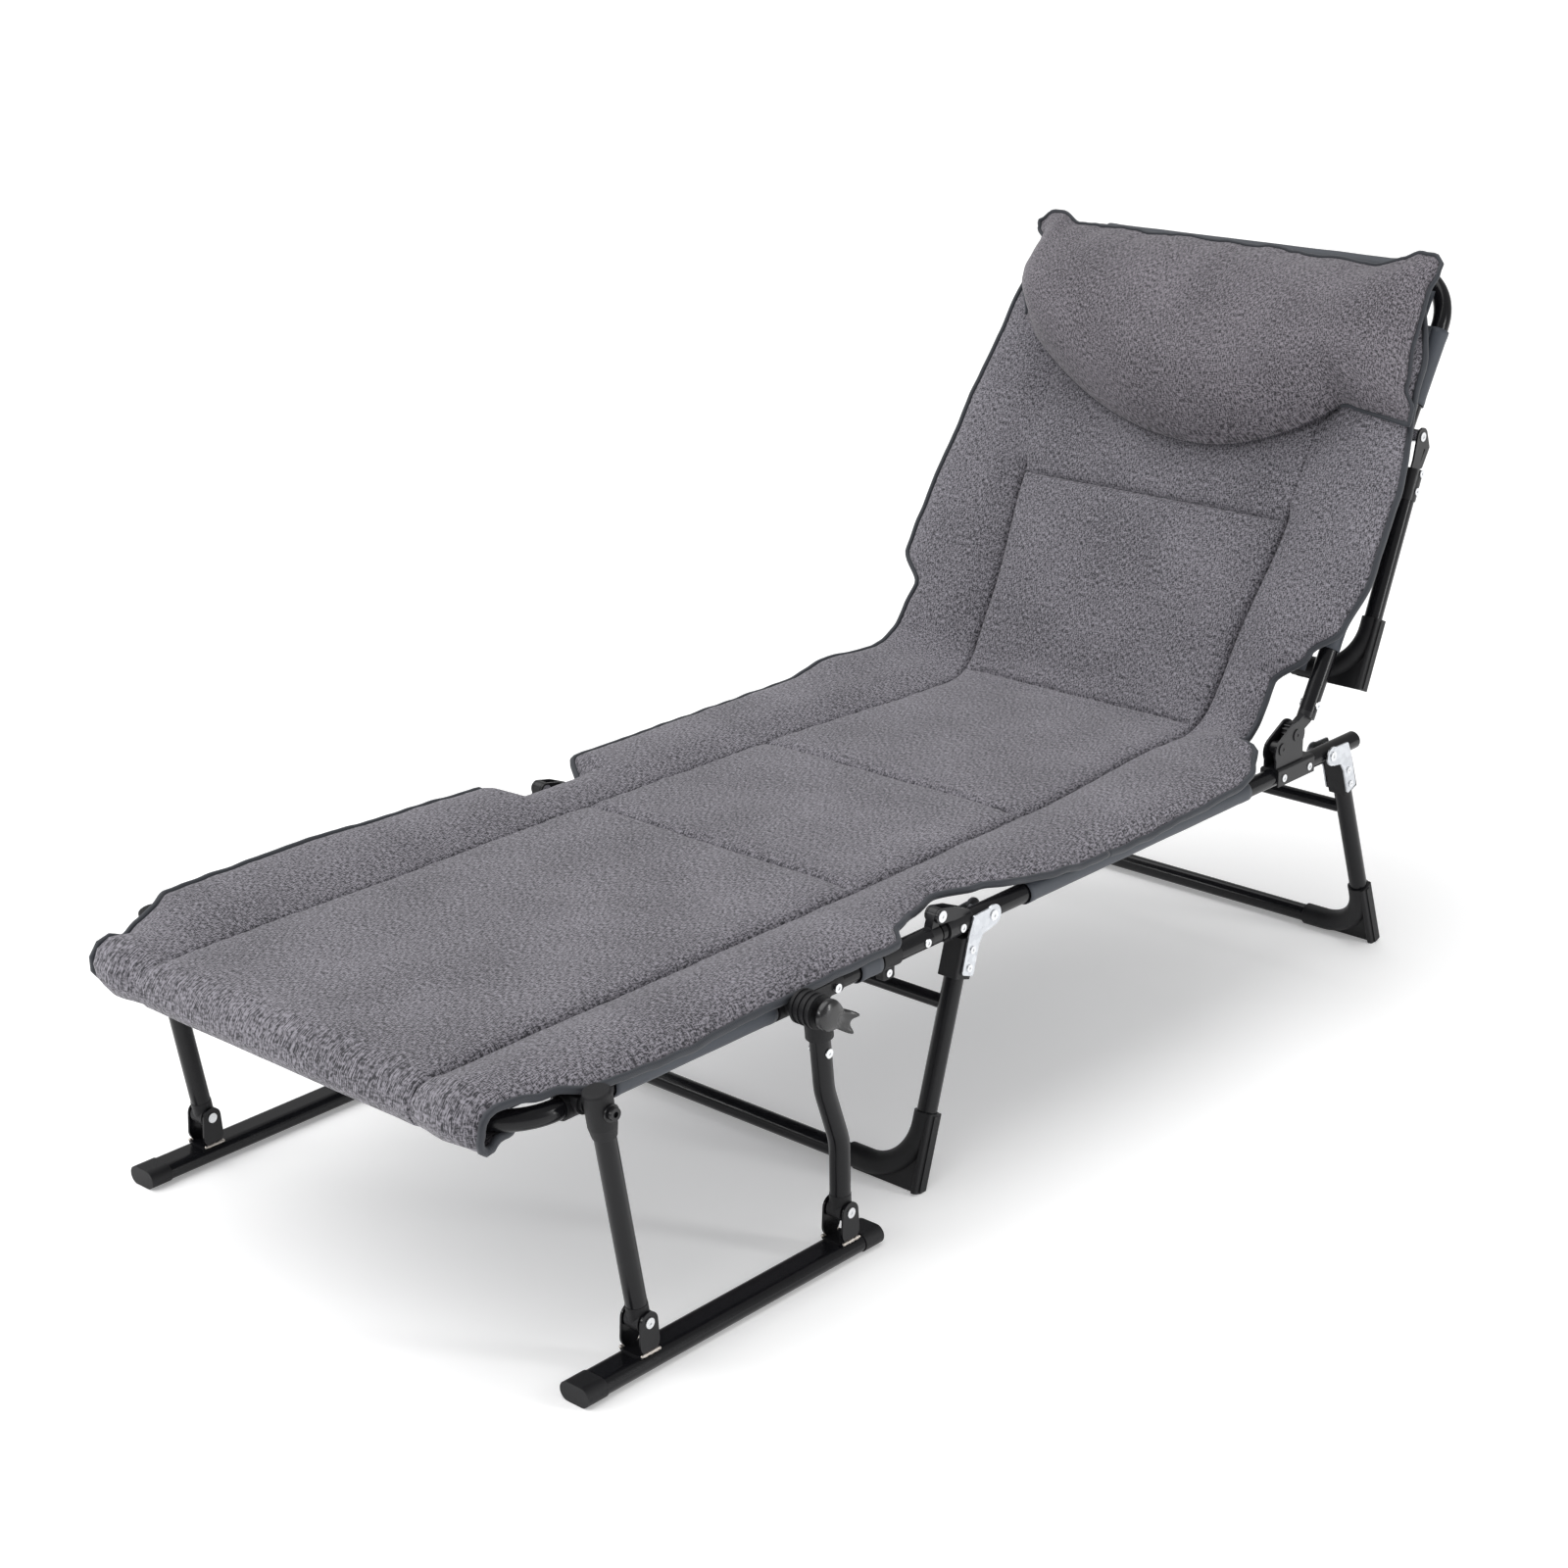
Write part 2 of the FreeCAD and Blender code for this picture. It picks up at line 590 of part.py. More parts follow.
def front_socket(side):
    """The stepped socket on the foot rail that the front leg's head turns against."""
    y, z = front_post_y, post_top_z
    body = rod(V(rail_x, y - 16, rail_z), V(rail_x, y + 16, rail_z), collar_r)
    steps = [cross_pin(rail_x, socket_face - 4, y, z, 12.0), cross_pin(rail_x, socket_face, y, z, 9.0)]
    body = body.fuse(steps)
    body = body.common(box(rail_x - 30, rail_x + 60, y - 40, y + 40, rail_z - 30, pad_bottom - 0.3))
    body = body.cut(rod(V(rail_x, y - 40, rail_z), V(rail_x, y + 40, rail_z), tube_r))
    return to_side(body.cut(cross_pin(rail_x - 30, rail_x + 40, y, z, pin_r)).removeSplitter(), side)


def rear_bracket(side):
    """The long bracket on the foot rail with the boss that takes the knob's stud."""
    y, z = rear_post_y, post_top_z
    body = rod(V(rail_x, y - 18, rail_z), V(rail_x, bracket_screw[0] + 13, rail_z), collar_r)
    body = body.fuse([cross_pin(rail_x, socket_face, y, z, 13.0),
                      box(rail_x + 2, rail_x + 16, y, bracket_screw[0] - 10, rail_z - 6, rail_z + 9)])
    body = body.common(box(rail_x - 30, rail_x + 60, y - 60, y + 120, rail_z - 30, pad_bottom - 0.3))
    body = body.cut(rod(V(rail_x, y - 60, rail_z), V(rail_x, y + 120, rail_z), tube_r))
    body = body.cut(cross_pin(socket_face - 9, socket_face + 1, y, z, pin_r + running))
    body = body.cut(cross_pin(rail_x - 30, rail_x + 30, *bracket_screw, pin_r))
    return to_side(body.removeSplitter(), side)


def rail_clip(side):
    """The plastic ring round the foot rail with a screwed lug under it."""
    y, z = clip_screw
    ring = rod(V(rail_x, y - 14, rail_z), V(rail_x, y + 14, rail_z), 12.8)
    lug = box(rail_x - 5, rail_x + 5, y - 9, y + 9, z - 7, rail_z)
    lug = rounded(lug, 3.0, lambda e: along(e, V(1, 0, 0)) and e.Vertexes[0].Z < rail_z - 5)
    body = ring.fuse(lug).cut(rod(V(rail_x, y - 15, rail_z), V(rail_x, y + 15, rail_z), tube_r))
    return to_side(body.cut(cross_pin(rail_x - 10, rail_x + 10, y, z, 2.5)).removeSplitter(), side)


def oval(x, y0, y1, z, width, height):
    """A bar along Y whose section is a rectangle with half-round sides."""
    r = height / 2
    flat = width / 2 - r
    body = box(x - flat, x + flat, y0, y1, z, z + height)
    ends = [rod(V(x + dx, y0, z + r), V(x + dx, y1, z + r), r) for dx in (-flat, flat)]
    return body.fuse(ends).removeSplitter()


def skid(side):
    """The floor skid with its two welded clevises, and its two end caps."""
    top = cap_skin + skid_height
    bar = oval(post_x, skid_start_y, skid_end_y, cap_skin, skid_width, skid_height)
    bar = bar.cut(oval(post_x, skid_start_y - 1, skid_end_y + 1, cap_skin + tube_wall,
                       skid_width - 2 * tube_wall, skid_height - 2 * tube_wall))
    for y in (front_post_y + post_lean, rear_post_y + post_lean):
        for x0 in (post_x - clevis_out, post_x + clevis_in):
            ear = strap(x0, x0 + clevis_out - clevis_in, ((y, post_foot_z, 11.5), (y, top + 13, 13.0)))
            ear = ear.common(box(x0 - 1, x0 + 9, y - 40, y + 40, top - 0.5, 100))
            bar = bar.fuse(ear.cut(cross_pin(x0 - 1, x0 + 9, y, post_foot_z, pin_r)))
        bar = bar.fuse(box(post_x - clevis_out, post_x + clevis_out, y - 13, y + 13, top - 0.5, top + 2))
    caps = []
    for y0, y1 in ((skid_start_y - 2, skid_start_y + cap_length), (skid_end_y - cap_length, skid_end_y + 2)):
        cap = oval(post_x, y0, y1, 0, skid_width + 2 * cap_skin, skid_height + 2 * cap_skin)
        cap = cap.cut(oval(post_x, skid_start_y, skid_end_y, cap_skin, skid_width, skid_height))
        caps.append(to_side(cap, side))
    return to_side(bar.removeSplitter(), side), caps


# ---------------------------------------------------------------- sling cloth, mattress and pillow

def sling(y0, y1, sleeves, height):
    """Cloth stretched between the side tubes, sewn into a sleeve round each stretch of tube."""
    low = height + tube_r + sleeve_gap
    open_x = rail_x - collar_r - 1
    cloth = box(-open_x, open_x, y0, y1, low, low + sleeve_skin)
    for s0, s1 in sleeves:
        ring = rod(V(rail_x, s0, height), V(rail_x, s1, height), tube_r + sleeve_gap + sleeve_skin)
        ring = ring.cut(rod(V(rail_x, s0 - 1, height), V(rail_x, s1 + 1, height), tube_r + sleeve_gap))
        band = box(open_x, rail_x, s0, s1, low, low + sleeve_skin)
        cloth = cloth.fuse(both([ring.fuse(band)]))
    return cloth.removeSplitter()


def slab(outline, x):
    """A pad with the given side outline of (y, z) points, reaching x to each side."""
    corners = [V(-x, y, z) for y, z in outline]
    return Part.Face(Part.makePolygon(corners + corners[:1])).extrude(V(2 * x, 0, 0))


def make_foot_pad():
    """The mattress over the foot end, hooded over the end tube and thinned at the fold."""
    nose = foot_y - tube_r - 12
    inner = foot_y - tube_r - 2
    outline = ((nose, 258), (nose, pad_top - 10), (nose + 10, pad_top), (hinge_y - pad_taper, pad_top),
               (hinge_y - 6, hinge_z - 1.5), (hinge_y - 6, pad_bottom), (inner, pad_bottom), (inner, 258))
    pad = slab(outline, pad_x)
    for x0, x1 in ((276, pad_x + 1), (-pad_x - 1, -276)):
        pad = pad.cut(box(x0, x1, nose - 1, inner + 1, 200, pad_bottom))
        pad = pad.cut(hinge_notch(x0))
    return pad


def hinge_notch(x0):
    inside = 284.0
    x_low = inside if x0 > 0 else -400
    return box(x_low, x_low + 400 - inside, hinge_notch_start, seat_collar[1] + 4, 200, 400)


def make_seat_pad():
    """The mattress over the seat, thinned at the fold and waisted between the ratchets."""
    outline = ((hinge_y + 6, pad_bottom), (hinge_y + 6, hinge_z - 1.5), (hinge_y + pad_taper, pad_top),
               (455, pad_top), (462, pad_top - 6), (462, pad_bottom))
    pad = slab(outline, pad_x)
    for x0 in (276, -pad_x):
        pad = pad.cut(hinge_notch(x0))
    for side in (1, -1):
        waist = ((400, 350), (pad_x - 20, 350), (waist_x, 400), (waist_x, 500), (400, 500))
        corners = [V(side * x, y, 200) for x, y in waist]
        pad = pad.cut(Part.Face(Part.makePolygon(corners + corners[:1])).extrude(V(0, 0, 300)))
    return pad


def make_back_pad():
    """The mattress up the backrest, waisted and thinned at its foot."""
    outline = ((24, back_pad_near), (24, 20), (100, back_pad_far), (580, back_pad_far), (594, 34),
               (594, back_pad_near))
    pad = slab(outline, pad_x + 4)
    for side in (1, -1):
        corners = [V(side * x, y, -50) for x, y in ((400, 0), (waist_x, 0), (waist_x, 84), (pad_x - 4, 120),
                                                    (400, 120))]
        pad = pad.cut(Part.Face(Part.makePolygon(corners + corners[:1])).extrude(V(0, 0, 300)))
    return lay_back(pad)


def make_pillow():
    body = box(-306, 306, 352, 608, back_pad_far + 1, pillow_far)
    return lay_back(rounded(body, 20.0, lambda e: e.BoundBox.ZMin > back_pad_far + 10))


# ---------------------------------------------------------------- build and save every piece

for side_name, side in left_right:
    save("seat_rail_" + side_name, make_seat_rail(side))
    post, head, plug = front_post(side)
    save("front_post_tube_" + side_name, post)
    save("front_post_fittings_" + side_name, head, plug)
    post, clamp, plug, post_pin = rear_post(side)
    save("rear_post_tube_" + side_name, post)
    save("rear_post_fittings_" + side_name, clamp, plug)
    save("rear_post_rivet_" + side_name, post_pin)
    save("wing_knob_" + side_name, knob(side))
    skid_bar, skid_caps = skid(side)
    save("skid_" + side_name, skid_bar)
    save("skid_caps_" + side_name, *skid_caps)
    skid_pins = []
    for pin_y in (front_post_y + post_lean, rear_post_y + post_lean):
        pin = rivet(post_x - clevis_out, post_x + clevis_out, pin_y, post_foot_z)
        skid_pins.append(to_side(pin, side))
    save("skid_rivets_" + side_name, *skid_pins)

both_sides = {
    "front_post_sockets": front_socket, "rear_post_brackets": rear_bracket, "rail_clips": rail_clip,
    "seat_hinge_brackets": make_seat_hinge, "foot_hinge_tongues": make_foot_hinge,
    "ratchet_channels": make_channel, "ratchet_arms": make_arm, "ratchet_pawls": make_pawl,
}
for name, make in both_sides.items():
    save(name, make(1), make(-1))
save("ratchet_cheeks", *(make_cheeks(1) + make_cheeks(-1)))

save("foot_frame", make_foot_frame())
save("back_frame", make_back_frame())
save_floor_leg("centre_leg", centre_pivot_y, centre_foot_y)
save_floor_leg("rear_leg", rear_pivot_y, rear_foot_y)
save_back_leg()


pivot_half = tube_r + plate_gap + plate
back_pivot = on_back(back_leg_pivot, 0)
arm_hole = on_back(arm_rivet_s, 0)
post_bolt_end = post_x + head_r
hinge_pin = rivet(rail_x - ear_out, rail_x + ear_out, hinge_y, hinge_z, head_r=6.4)
save("hinge_pins", *both([hinge_pin]))
save("leg_pivot_rivets", *both([rivet(rail_x - pivot_half, rail_x + pivot_half, y, rail_z, head_r=6.0)
                                for y in (centre_pivot_y, rear_pivot_y)]))
seat_rivets = [rivet(rail_x - collar_r, rail_x + collar_r, *seat_collar_rivet, head_r=4.6)]
channel_half = tube_r + channel_wall
for y, z in channel_rivets:
    seat_rivets.append(rivet(rail_x - channel_half, rail_x + channel_half, y, z, head_r=4.6))
save("seat_rivets", *both(seat_rivets))
save("ratchet_rivets", *both([rivet(rail_x - cheek_out, rail_x + cheek_out, y, z, head_r=7.5)
                              for y, z in ((recline_y, recline_z), ratchet_low)]))
foot_fasteners = [rivet(rail_x - tube_r, rail_x + tube_r, *foot_hinge_rivet, head_r=4.6),
                  rivet(rail_x - collar_r, rail_x + 16, *bracket_screw, head_r=4.8),
                  rivet(rail_x - 5, rail_x + 5, *clip_screw, radius=2.5, head_r=4.2)]
save("foot_fasteners", *both(foot_fasteners))
front_bolt = cross_pin(rail_x - collar_r, post_bolt_end + 6, front_post_y, post_top_z, pin_r)
washer = cross_pin(post_bolt_end + 0.3, post_bolt_end + 2.0, front_post_y, post_top_z, 9.0)
bolt_head = cross_pin(post_bolt_end + 2.0, post_bolt_end + 7.0, front_post_y, post_top_z, 6.5)
front_bolt = front_bolt.fuse([washer, bolt_head])
socket_hex = cross_pin(post_bolt_end + 4, post_bolt_end + 9, front_post_y, post_top_z, 3.0)
save("front_post_bolts", *both([front_bolt.cut(socket_hex).removeSplitter()]))
back_pin = rivet(rail_x - tube_r, back_plate_in + kite_plate, back_pivot.y, back_pivot.z)
spacer = cross_pin(rail_x + tube_r + 0.2, back_plate_in - 0.2, back_pivot.y, back_pivot.z, 8.0)
arm_pin = rivet(rail_x - tube_r, rail_x + tube_r, arm_hole.y, arm_hole.z, head_r=5.0)
save("back_frame_rivets", *both([back_pin.fuse(spacer).removeSplitter(), arm_pin]))

save("foot_sling", sling(foot_y + 22, hinge_notch_start - 2, ((-663, -440), (-313, -280)), rail_z))
save("seat_sling", sling(-36, 430, ((-36, 383),), rail_z))
save("back_sling", lay_back(sling(70, 560, ((104, 345), (420, 516)), 0)))
save("foot_pad", make_foot_pad())
save("seat_pad", make_seat_pad())
save("back_pad", make_back_pad())
save("pillow", make_pillow())
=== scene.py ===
import json
import math

import bpy
from mathutils import Matrix, Vector, noise


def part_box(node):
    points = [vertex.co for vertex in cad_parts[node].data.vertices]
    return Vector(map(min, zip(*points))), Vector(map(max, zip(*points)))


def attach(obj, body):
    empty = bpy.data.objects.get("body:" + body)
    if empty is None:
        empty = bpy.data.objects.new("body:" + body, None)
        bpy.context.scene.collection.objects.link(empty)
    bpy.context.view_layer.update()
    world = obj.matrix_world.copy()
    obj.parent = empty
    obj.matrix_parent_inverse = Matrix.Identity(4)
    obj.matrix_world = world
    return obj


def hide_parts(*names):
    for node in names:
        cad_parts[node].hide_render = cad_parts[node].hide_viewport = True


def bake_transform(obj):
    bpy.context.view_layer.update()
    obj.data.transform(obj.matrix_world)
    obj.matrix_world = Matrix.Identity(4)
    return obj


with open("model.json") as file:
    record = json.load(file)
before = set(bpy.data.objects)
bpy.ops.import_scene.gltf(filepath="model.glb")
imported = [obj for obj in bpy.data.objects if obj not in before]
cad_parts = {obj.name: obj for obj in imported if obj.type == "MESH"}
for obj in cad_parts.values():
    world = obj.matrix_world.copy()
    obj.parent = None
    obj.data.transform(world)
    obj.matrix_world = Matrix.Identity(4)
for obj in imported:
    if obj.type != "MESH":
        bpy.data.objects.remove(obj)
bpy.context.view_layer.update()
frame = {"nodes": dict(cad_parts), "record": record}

# Camera, floor and studio light.
# The eye stands off the left foot corner, a little above the head end, and looks down at 20 degrees.
# A pale floor runs out past the frame. Light is a white room with a broad softbox overhead.
eye = Vector((2.1566, -2.4195, 1.5083))
azimuth = math.radians(42.762)
elevation = math.radians(19.957)
roll = math.radians(-1.02)
back = Vector((math.sin(azimuth) * math.cos(elevation), -math.cos(azimuth) * math.cos(elevation),
               math.sin(elevation)))
level = (-back).cross(Vector((0, 0, 1))).normalized()
upright = level.cross(-back)
right = math.cos(roll) * level + math.sin(roll) * upright
up = math.cos(roll) * upright - math.sin(roll) * level
camera = bpy.data.objects.new("camera", bpy.data.cameras.new("camera"))
camera.data.lens = 69.0
camera.data.sensor_width = 36.0
camera.matrix_world = Matrix.Translation(eye) @ Matrix((right, up, back)).transposed().to_4x4()
bpy.context.scene.collection.objects.link(camera)
bpy.context.scene.camera = camera
bpy.context.scene.view_settings.view_transform = "Standard"


class Wire:
    """A shader socket that numbers and other sockets can be added to and multiplied with."""

    def __init__(self, tree, socket=None):
        self.tree = tree
        self.socket = socket

    def node(self, kind, settings=None, output=0, **inputs):
        made = self.tree.nodes.new(kind)
        for name, value in (settings or {}).items():
            if name == "stops":
                ramp = made.color_ramp.elements
                for _ in value[2:]:
                    ramp.new(0.5)
                for stop, (place, colour) in zip(ramp, value):
                    stop.position = place
                    stop.color = (*colour, 1)
            else:
                setattr(made, name, value)
        for name, value in inputs.items():
            key = int(name[1:]) if name[1:].isdigit() else name.replace("_", " ")
            if isinstance(value, Wire):
                self.tree.links.new(value.socket, made.inputs[key])
            else:
                made.inputs[key].default_value = value
        return Wire(self.tree, made.outputs[output])

    def maths(self, operation, first, second=0.0):
        return self.node("ShaderNodeMath", {"operation": operation}, i0=first, i1=second)

    def __add__(self, other):
        return self.maths("ADD", self, other)

    __radd__ = __add__

    def __mul__(self, other):
        return self.maths("MULTIPLY", self, other)

    __rmul__ = __mul__

    def __sub__(self, other):
        return self.maths("SUBTRACT", self, other)

    def __rsub__(self, other):
        return self.maths("SUBTRACT", other, self)

    def blend(self, low, high):
        """The first colour where this is 0 and the second where it is 1."""
        colours = {}
        for name, value in (("i6", low), ("i7", high)):
            colours[name] = value if isinstance(value, Wire) else (*value, 1)
        return self.node("ShaderNodeMix", {"data_type": "RGBA"}, 2, Factor=self, **colours)


def finish(name, look, **shader_values):
    """A material whose look function is given the tree and returns colour, roughness and bump height."""
    material = bpy.data.materials.new(name)
    material.use_nodes = True
    tree = material.node_tree
    shader = tree.nodes["Principled BSDF"]
    for key, value in shader_values.items():
        shader.inputs[key.replace("_", " ")].default_value = value
    colour, rough, height, depth = look(Wire(tree))
    bump = Wire(tree).node("ShaderNodeBump", Height=height, Strength=1.0, Distance=depth)
    for key, wire in (("Base Color", colour), ("Roughness", rough), ("Normal", bump)):
        tree.links.new(wire.socket, shader.inputs[key])
    return material


def speckle(tree, size, detail=2.0, squeeze=(1, 1, 1), place=None):
    """Noise whose blotches are about size metres across, drawn out where squeeze is small."""
    if place is None:
        place = tree.node("ShaderNodeTexCoord", output="Object")
    turned = tree.node("ShaderNodeMapping", Vector=place, Scale=squeeze)
    return tree.node("ShaderNodeTexNoise", Vector=turned, Scale=1 / size, Detail=detail)


def piece(name, points, faces, materials, smooth=True):
    """A mesh object from points in metres and faces that name them."""
    mesh = bpy.data.meshes.new(name)
    mesh.from_pydata(points, [], faces)
    mesh.validate()
    obj = bpy.data.objects.new(name, mesh)
    for material in materials:
        mesh.materials.append(material)
    mesh.polygons.foreach_set("use_smooth", [smooth] * len(mesh.polygons))
    bpy.context.scene.collection.objects.link(obj)
    return obj


def pale(tree):
    mottled = speckle(tree, 0.4)
    return mottled.blend((0.93, 0.93, 0.93), (0.95, 0.95, 0.95)), mottled * 0.1 + 0.6, mottled, 0.0002


half_floor = 40.0
floor_finish = finish("pale_floor", pale, Emission_Color=(1, 1, 1, 1), Emission_Strength=0.22)
floor = piece("floor", [(-half_floor, -half_floor, 0), (half_floor, -half_floor, 0),
                        (half_floor, half_floor, 0), (-half_floor, half_floor, 0)],
              [(0, 1, 2, 3)], [floor_finish], smooth=False)
world = bpy.data.worlds.new("white_room")
world.use_nodes = True
world.node_tree.nodes["Background"].inputs["Color"].default_value = (1, 1, 1, 1)
world.node_tree.nodes["Background"].inputs["Strength"].default_value = 0.45
bpy.context.scene.world = world
sky = bpy.data.objects.new("silk_overhead", bpy.data.lights.new("silk_overhead", "SUN"))
sky.data.energy = 2.15
sky.data.angle = math.radians(70)
sky.rotation_euler = (Vector((0, 0, 0)) - Vector((-0.5, -0.35, 1.5))).to_track_quat("-Z", "Y").to_euler()
bpy.context.scene.collection.objects.link(sky)
for name, place, size, power in (("right_strip", (3.4, 0.9, 1.3), (0.5, 2.2), 40),
                                 ("left_strip", (-1.6, -3.4, 1.5), (2.2, 0.5), 30)):
    lamp = bpy.data.objects.new(name, bpy.data.lights.new(name, "AREA"))
    lamp.data.shape = "RECTANGLE"
    lamp.data.size, lamp.data.size_y = size
    lamp.data.energy = power
    lamp.location = place
    lamp.rotation_euler = (Vector((0, 0, 0.3)) - Vector(place)).to_track_quat("-Z", "Y").to_euler()
    bpy.context.scene.collection.objects.link(lamp)


# Tubes: the bed rails, the back arch, the U legs, the straight legs and the skids.
# Steel tube of 22 mm bent cold, then powder coated a satin black that takes long soft highlights.
def powder_coat(tree):
    orange_peel = speckle(tree, 0.0035, 1.0)
    handling = speckle(tree, 0.16, 3.0)
    dust = speckle(tree, 0.012, 4.0)
    colour = (dust * 0.5).blend((0.004, 0.004, 0.005), (0.011, 0.011, 0.013))
    return colour, handling * 0.12 + 0.17, orange_peel, 0.00006


tube_finish = finish("black_powder_coat", powder_coat, Coat_Weight=0.12, Coat_Roughness=0.1,
                     Specular_IOR_Level=0.22)


# Pressed fittings: hinge brackets, ratchet cheeks, channels and clevises.
# Mild steel sheet blanked and bent, coated a semi-gloss black that is thin along its edges.
def coated_plate(tree):
    grain = speckle(tree, 0.0018, 2.0)
    wear = speckle(tree, 0.03, 4.0)
    colour = (wear * 0.6).blend((0.006, 0.006, 0.007), (0.016, 0.016, 0.018))
    return colour, grain * 0.12 + 0.27, grain, 0.00007


fitting_finish = finish("black_coated_plate", coated_plate, Coat_Weight=0.1, Coat_Roughness=0.2,
                        Specular_IOR_Level=0.3)


# Mouldings: boots, leg heads, plugs, clamps, knobs and skid caps.
# Glass-filled nylon from a spark-eroded tool, so its skin is matt with a fine even grain.
def moulded_nylon(tree):
    spark = tree.node("ShaderNodeTexVoronoi", {"feature": "SMOOTH_F1"}, 0, Scale=1400.0)
    flow = speckle(tree, 0.02, 3.0)
    colour = flow.blend((0.007, 0.007, 0.008), (0.013, 0.013, 0.0145))
    return colour, flow * 0.14 + 0.38, spark, 0.00009


plastic_finish = finish("black_moulded_nylon", moulded_nylon, Specular_IOR_Level=0.25)


# Rivets, pins and bolts: bright zinc-plated steel, upset cold, faintly ringed by the setting tool.
def bright_zinc(tree):
    stain = speckle(tree, 0.004, 3.0)
    ring = speckle(tree, 0.0012, 1.0)
    return stain.blend((0.62, 0.63, 0.65), (0.86, 0.87, 0.88)), stain * 0.2 + 0.18, ring, 0.00008


rivet_finish = finish("bright_zinc", bright_zinc, Metallic=1.0)


# Leg plates: pressed galvanised sheet with the large pale crystals of hot-dip zinc.
def galvanised(tree):
    crystal = tree.node("ShaderNodeTexVoronoi", {"feature": "F1"}, "Color", Scale=170.0,
                        Vector=tree.node("ShaderNodeTexCoord", output="Object"))
    shade = tree.node("ShaderNodeRGBToBW", Color=crystal)
    scuff = speckle(tree, 0.002, 3.0, (1, 1, 0.15))
    colour = shade.blend((0.50, 0.52, 0.55), (0.68, 0.70, 0.73))
    return colour, shade * 0.14 + scuff * 0.12 + 0.2, scuff, 0.00003


zinc_finish = finish("galvanised_sheet", galvanised, Metallic=1.0)

by_slot = {
    "black_tube": tube_finish,
    "black_steel_fittings": fitting_finish,
    "black_plastic": plastic_finish,
    "bright_steel": rivet_finish,
    "zinc_plate": zinc_finish,
}
for row in frame["record"]["subparts"]:
    if row["material_slot"] in by_slot:
        node = frame["nodes"][row["node"]]
        node.data.materials.clear()
        node.data.materials.append(by_slot[row["material_slot"]])


# Mattress: one long quilted pad with a seam down each side and cross seams at the folds.
# Two layers of heather polyester with fibre wadding between them, bound all round its edge.
# It is hooded over the foot tube, notched at the mid hinge and waisted between the ratchets.
back_angle = math.radians(58.9)
back_foot = Vector((0.5025, 0.3277))
up_back = Vector((math.cos(back_angle), math.sin(back_angle)))
off_back = Vector((-math.sin(back_angle), math.cos(back_angle)))
bed_height = 0.2990
hood_inside = -0.8060
nose_r = 0.010
hood_fall = 0.009
hood_tuck = 0.055
hood_drop = nose_r * (math.pi - 1) + hood_fall + hood_tuck
back_clear = 0.0150
fold_r = 0.085
head_end = 0.566


def crossing(height, clear):
    """How far up the backrest a line square to it by clear meets the given height."""
    return (height - back_foot.y - clear * off_back.y) / up_back.y


fold_s = crossing(bed_height, back_clear)
fold_y = (back_foot + up_back * fold_s + off_back * back_clear).x


def table_value(table, place):
    """A value eased between the rows of a table of (place, value)."""
    if place <= table[0][0]:
        return table[0][1]
    for (p0, v0), (p1, v1) in zip(table, table[1:]):
        if place <= p1:
            t = (place - p0) / (p1 - p0)
            return v0 + (v1 - v0) * t * t * (3 - 2 * t)
    return table[-1][1]


def bed_line(station):
    """Where the underside of the pad runs, as (y, z), and the way out of its top there.

    Stations are metres along the pad, equal to y on the flat stretch."""
    reach = fold_r * math.tan(back_angle / 2)
    if station < hood_inside + nose_r:
        depth = hood_inside + nose_r - station
        quarter = nose_r * math.pi / 2
        if depth < quarter:
            a = depth / nose_r
            out = Vector((-math.sin(a), math.cos(a)))
            return Vector((hood_inside + nose_r, bed_height - nose_r)) + out * nose_r, out
        if depth < quarter + hood_fall:
            return Vector((hood_inside, bed_height - nose_r - depth + quarter)), Vector((-1, 0))
        a = min((depth - quarter - hood_fall) / nose_r, math.pi / 2)
        out = Vector((-math.cos(a), -math.sin(a)))
        tucked = max(depth - 2 * quarter - hood_fall, 0.0)
        if tucked:
            hem_height = bed_height - 2 * nose_r - hood_fall
            return Vector((hood_inside + nose_r + tucked, hem_height)), Vector((0, -1))
        return Vector((hood_inside + nose_r, bed_height - nose_r - hood_fall)) + out * nose_r, out
    start = fold_y - reach
    if station < start:
        return Vector((station, bed_height)), Vector((0, 1))
    a = (station - start) / fold_r
    if a < back_angle:
        return (Vector((start + fold_r * math.sin(a), bed_height + fold_r - fold_r * math.cos(a))),
                Vector((-math.sin(a), math.cos(a))))
    s = fold_s + reach + (station - start - fold_r * back_angle)
    return back_foot + up_back * s + off_back * back_clear, off_back


def on_pad(s):
    """The station of a place s up the backrest."""
    reach = fold_r * math.tan(back_angle / 2)
    return fold_y - reach + fold_r * back_angle + s - fold_s - reach


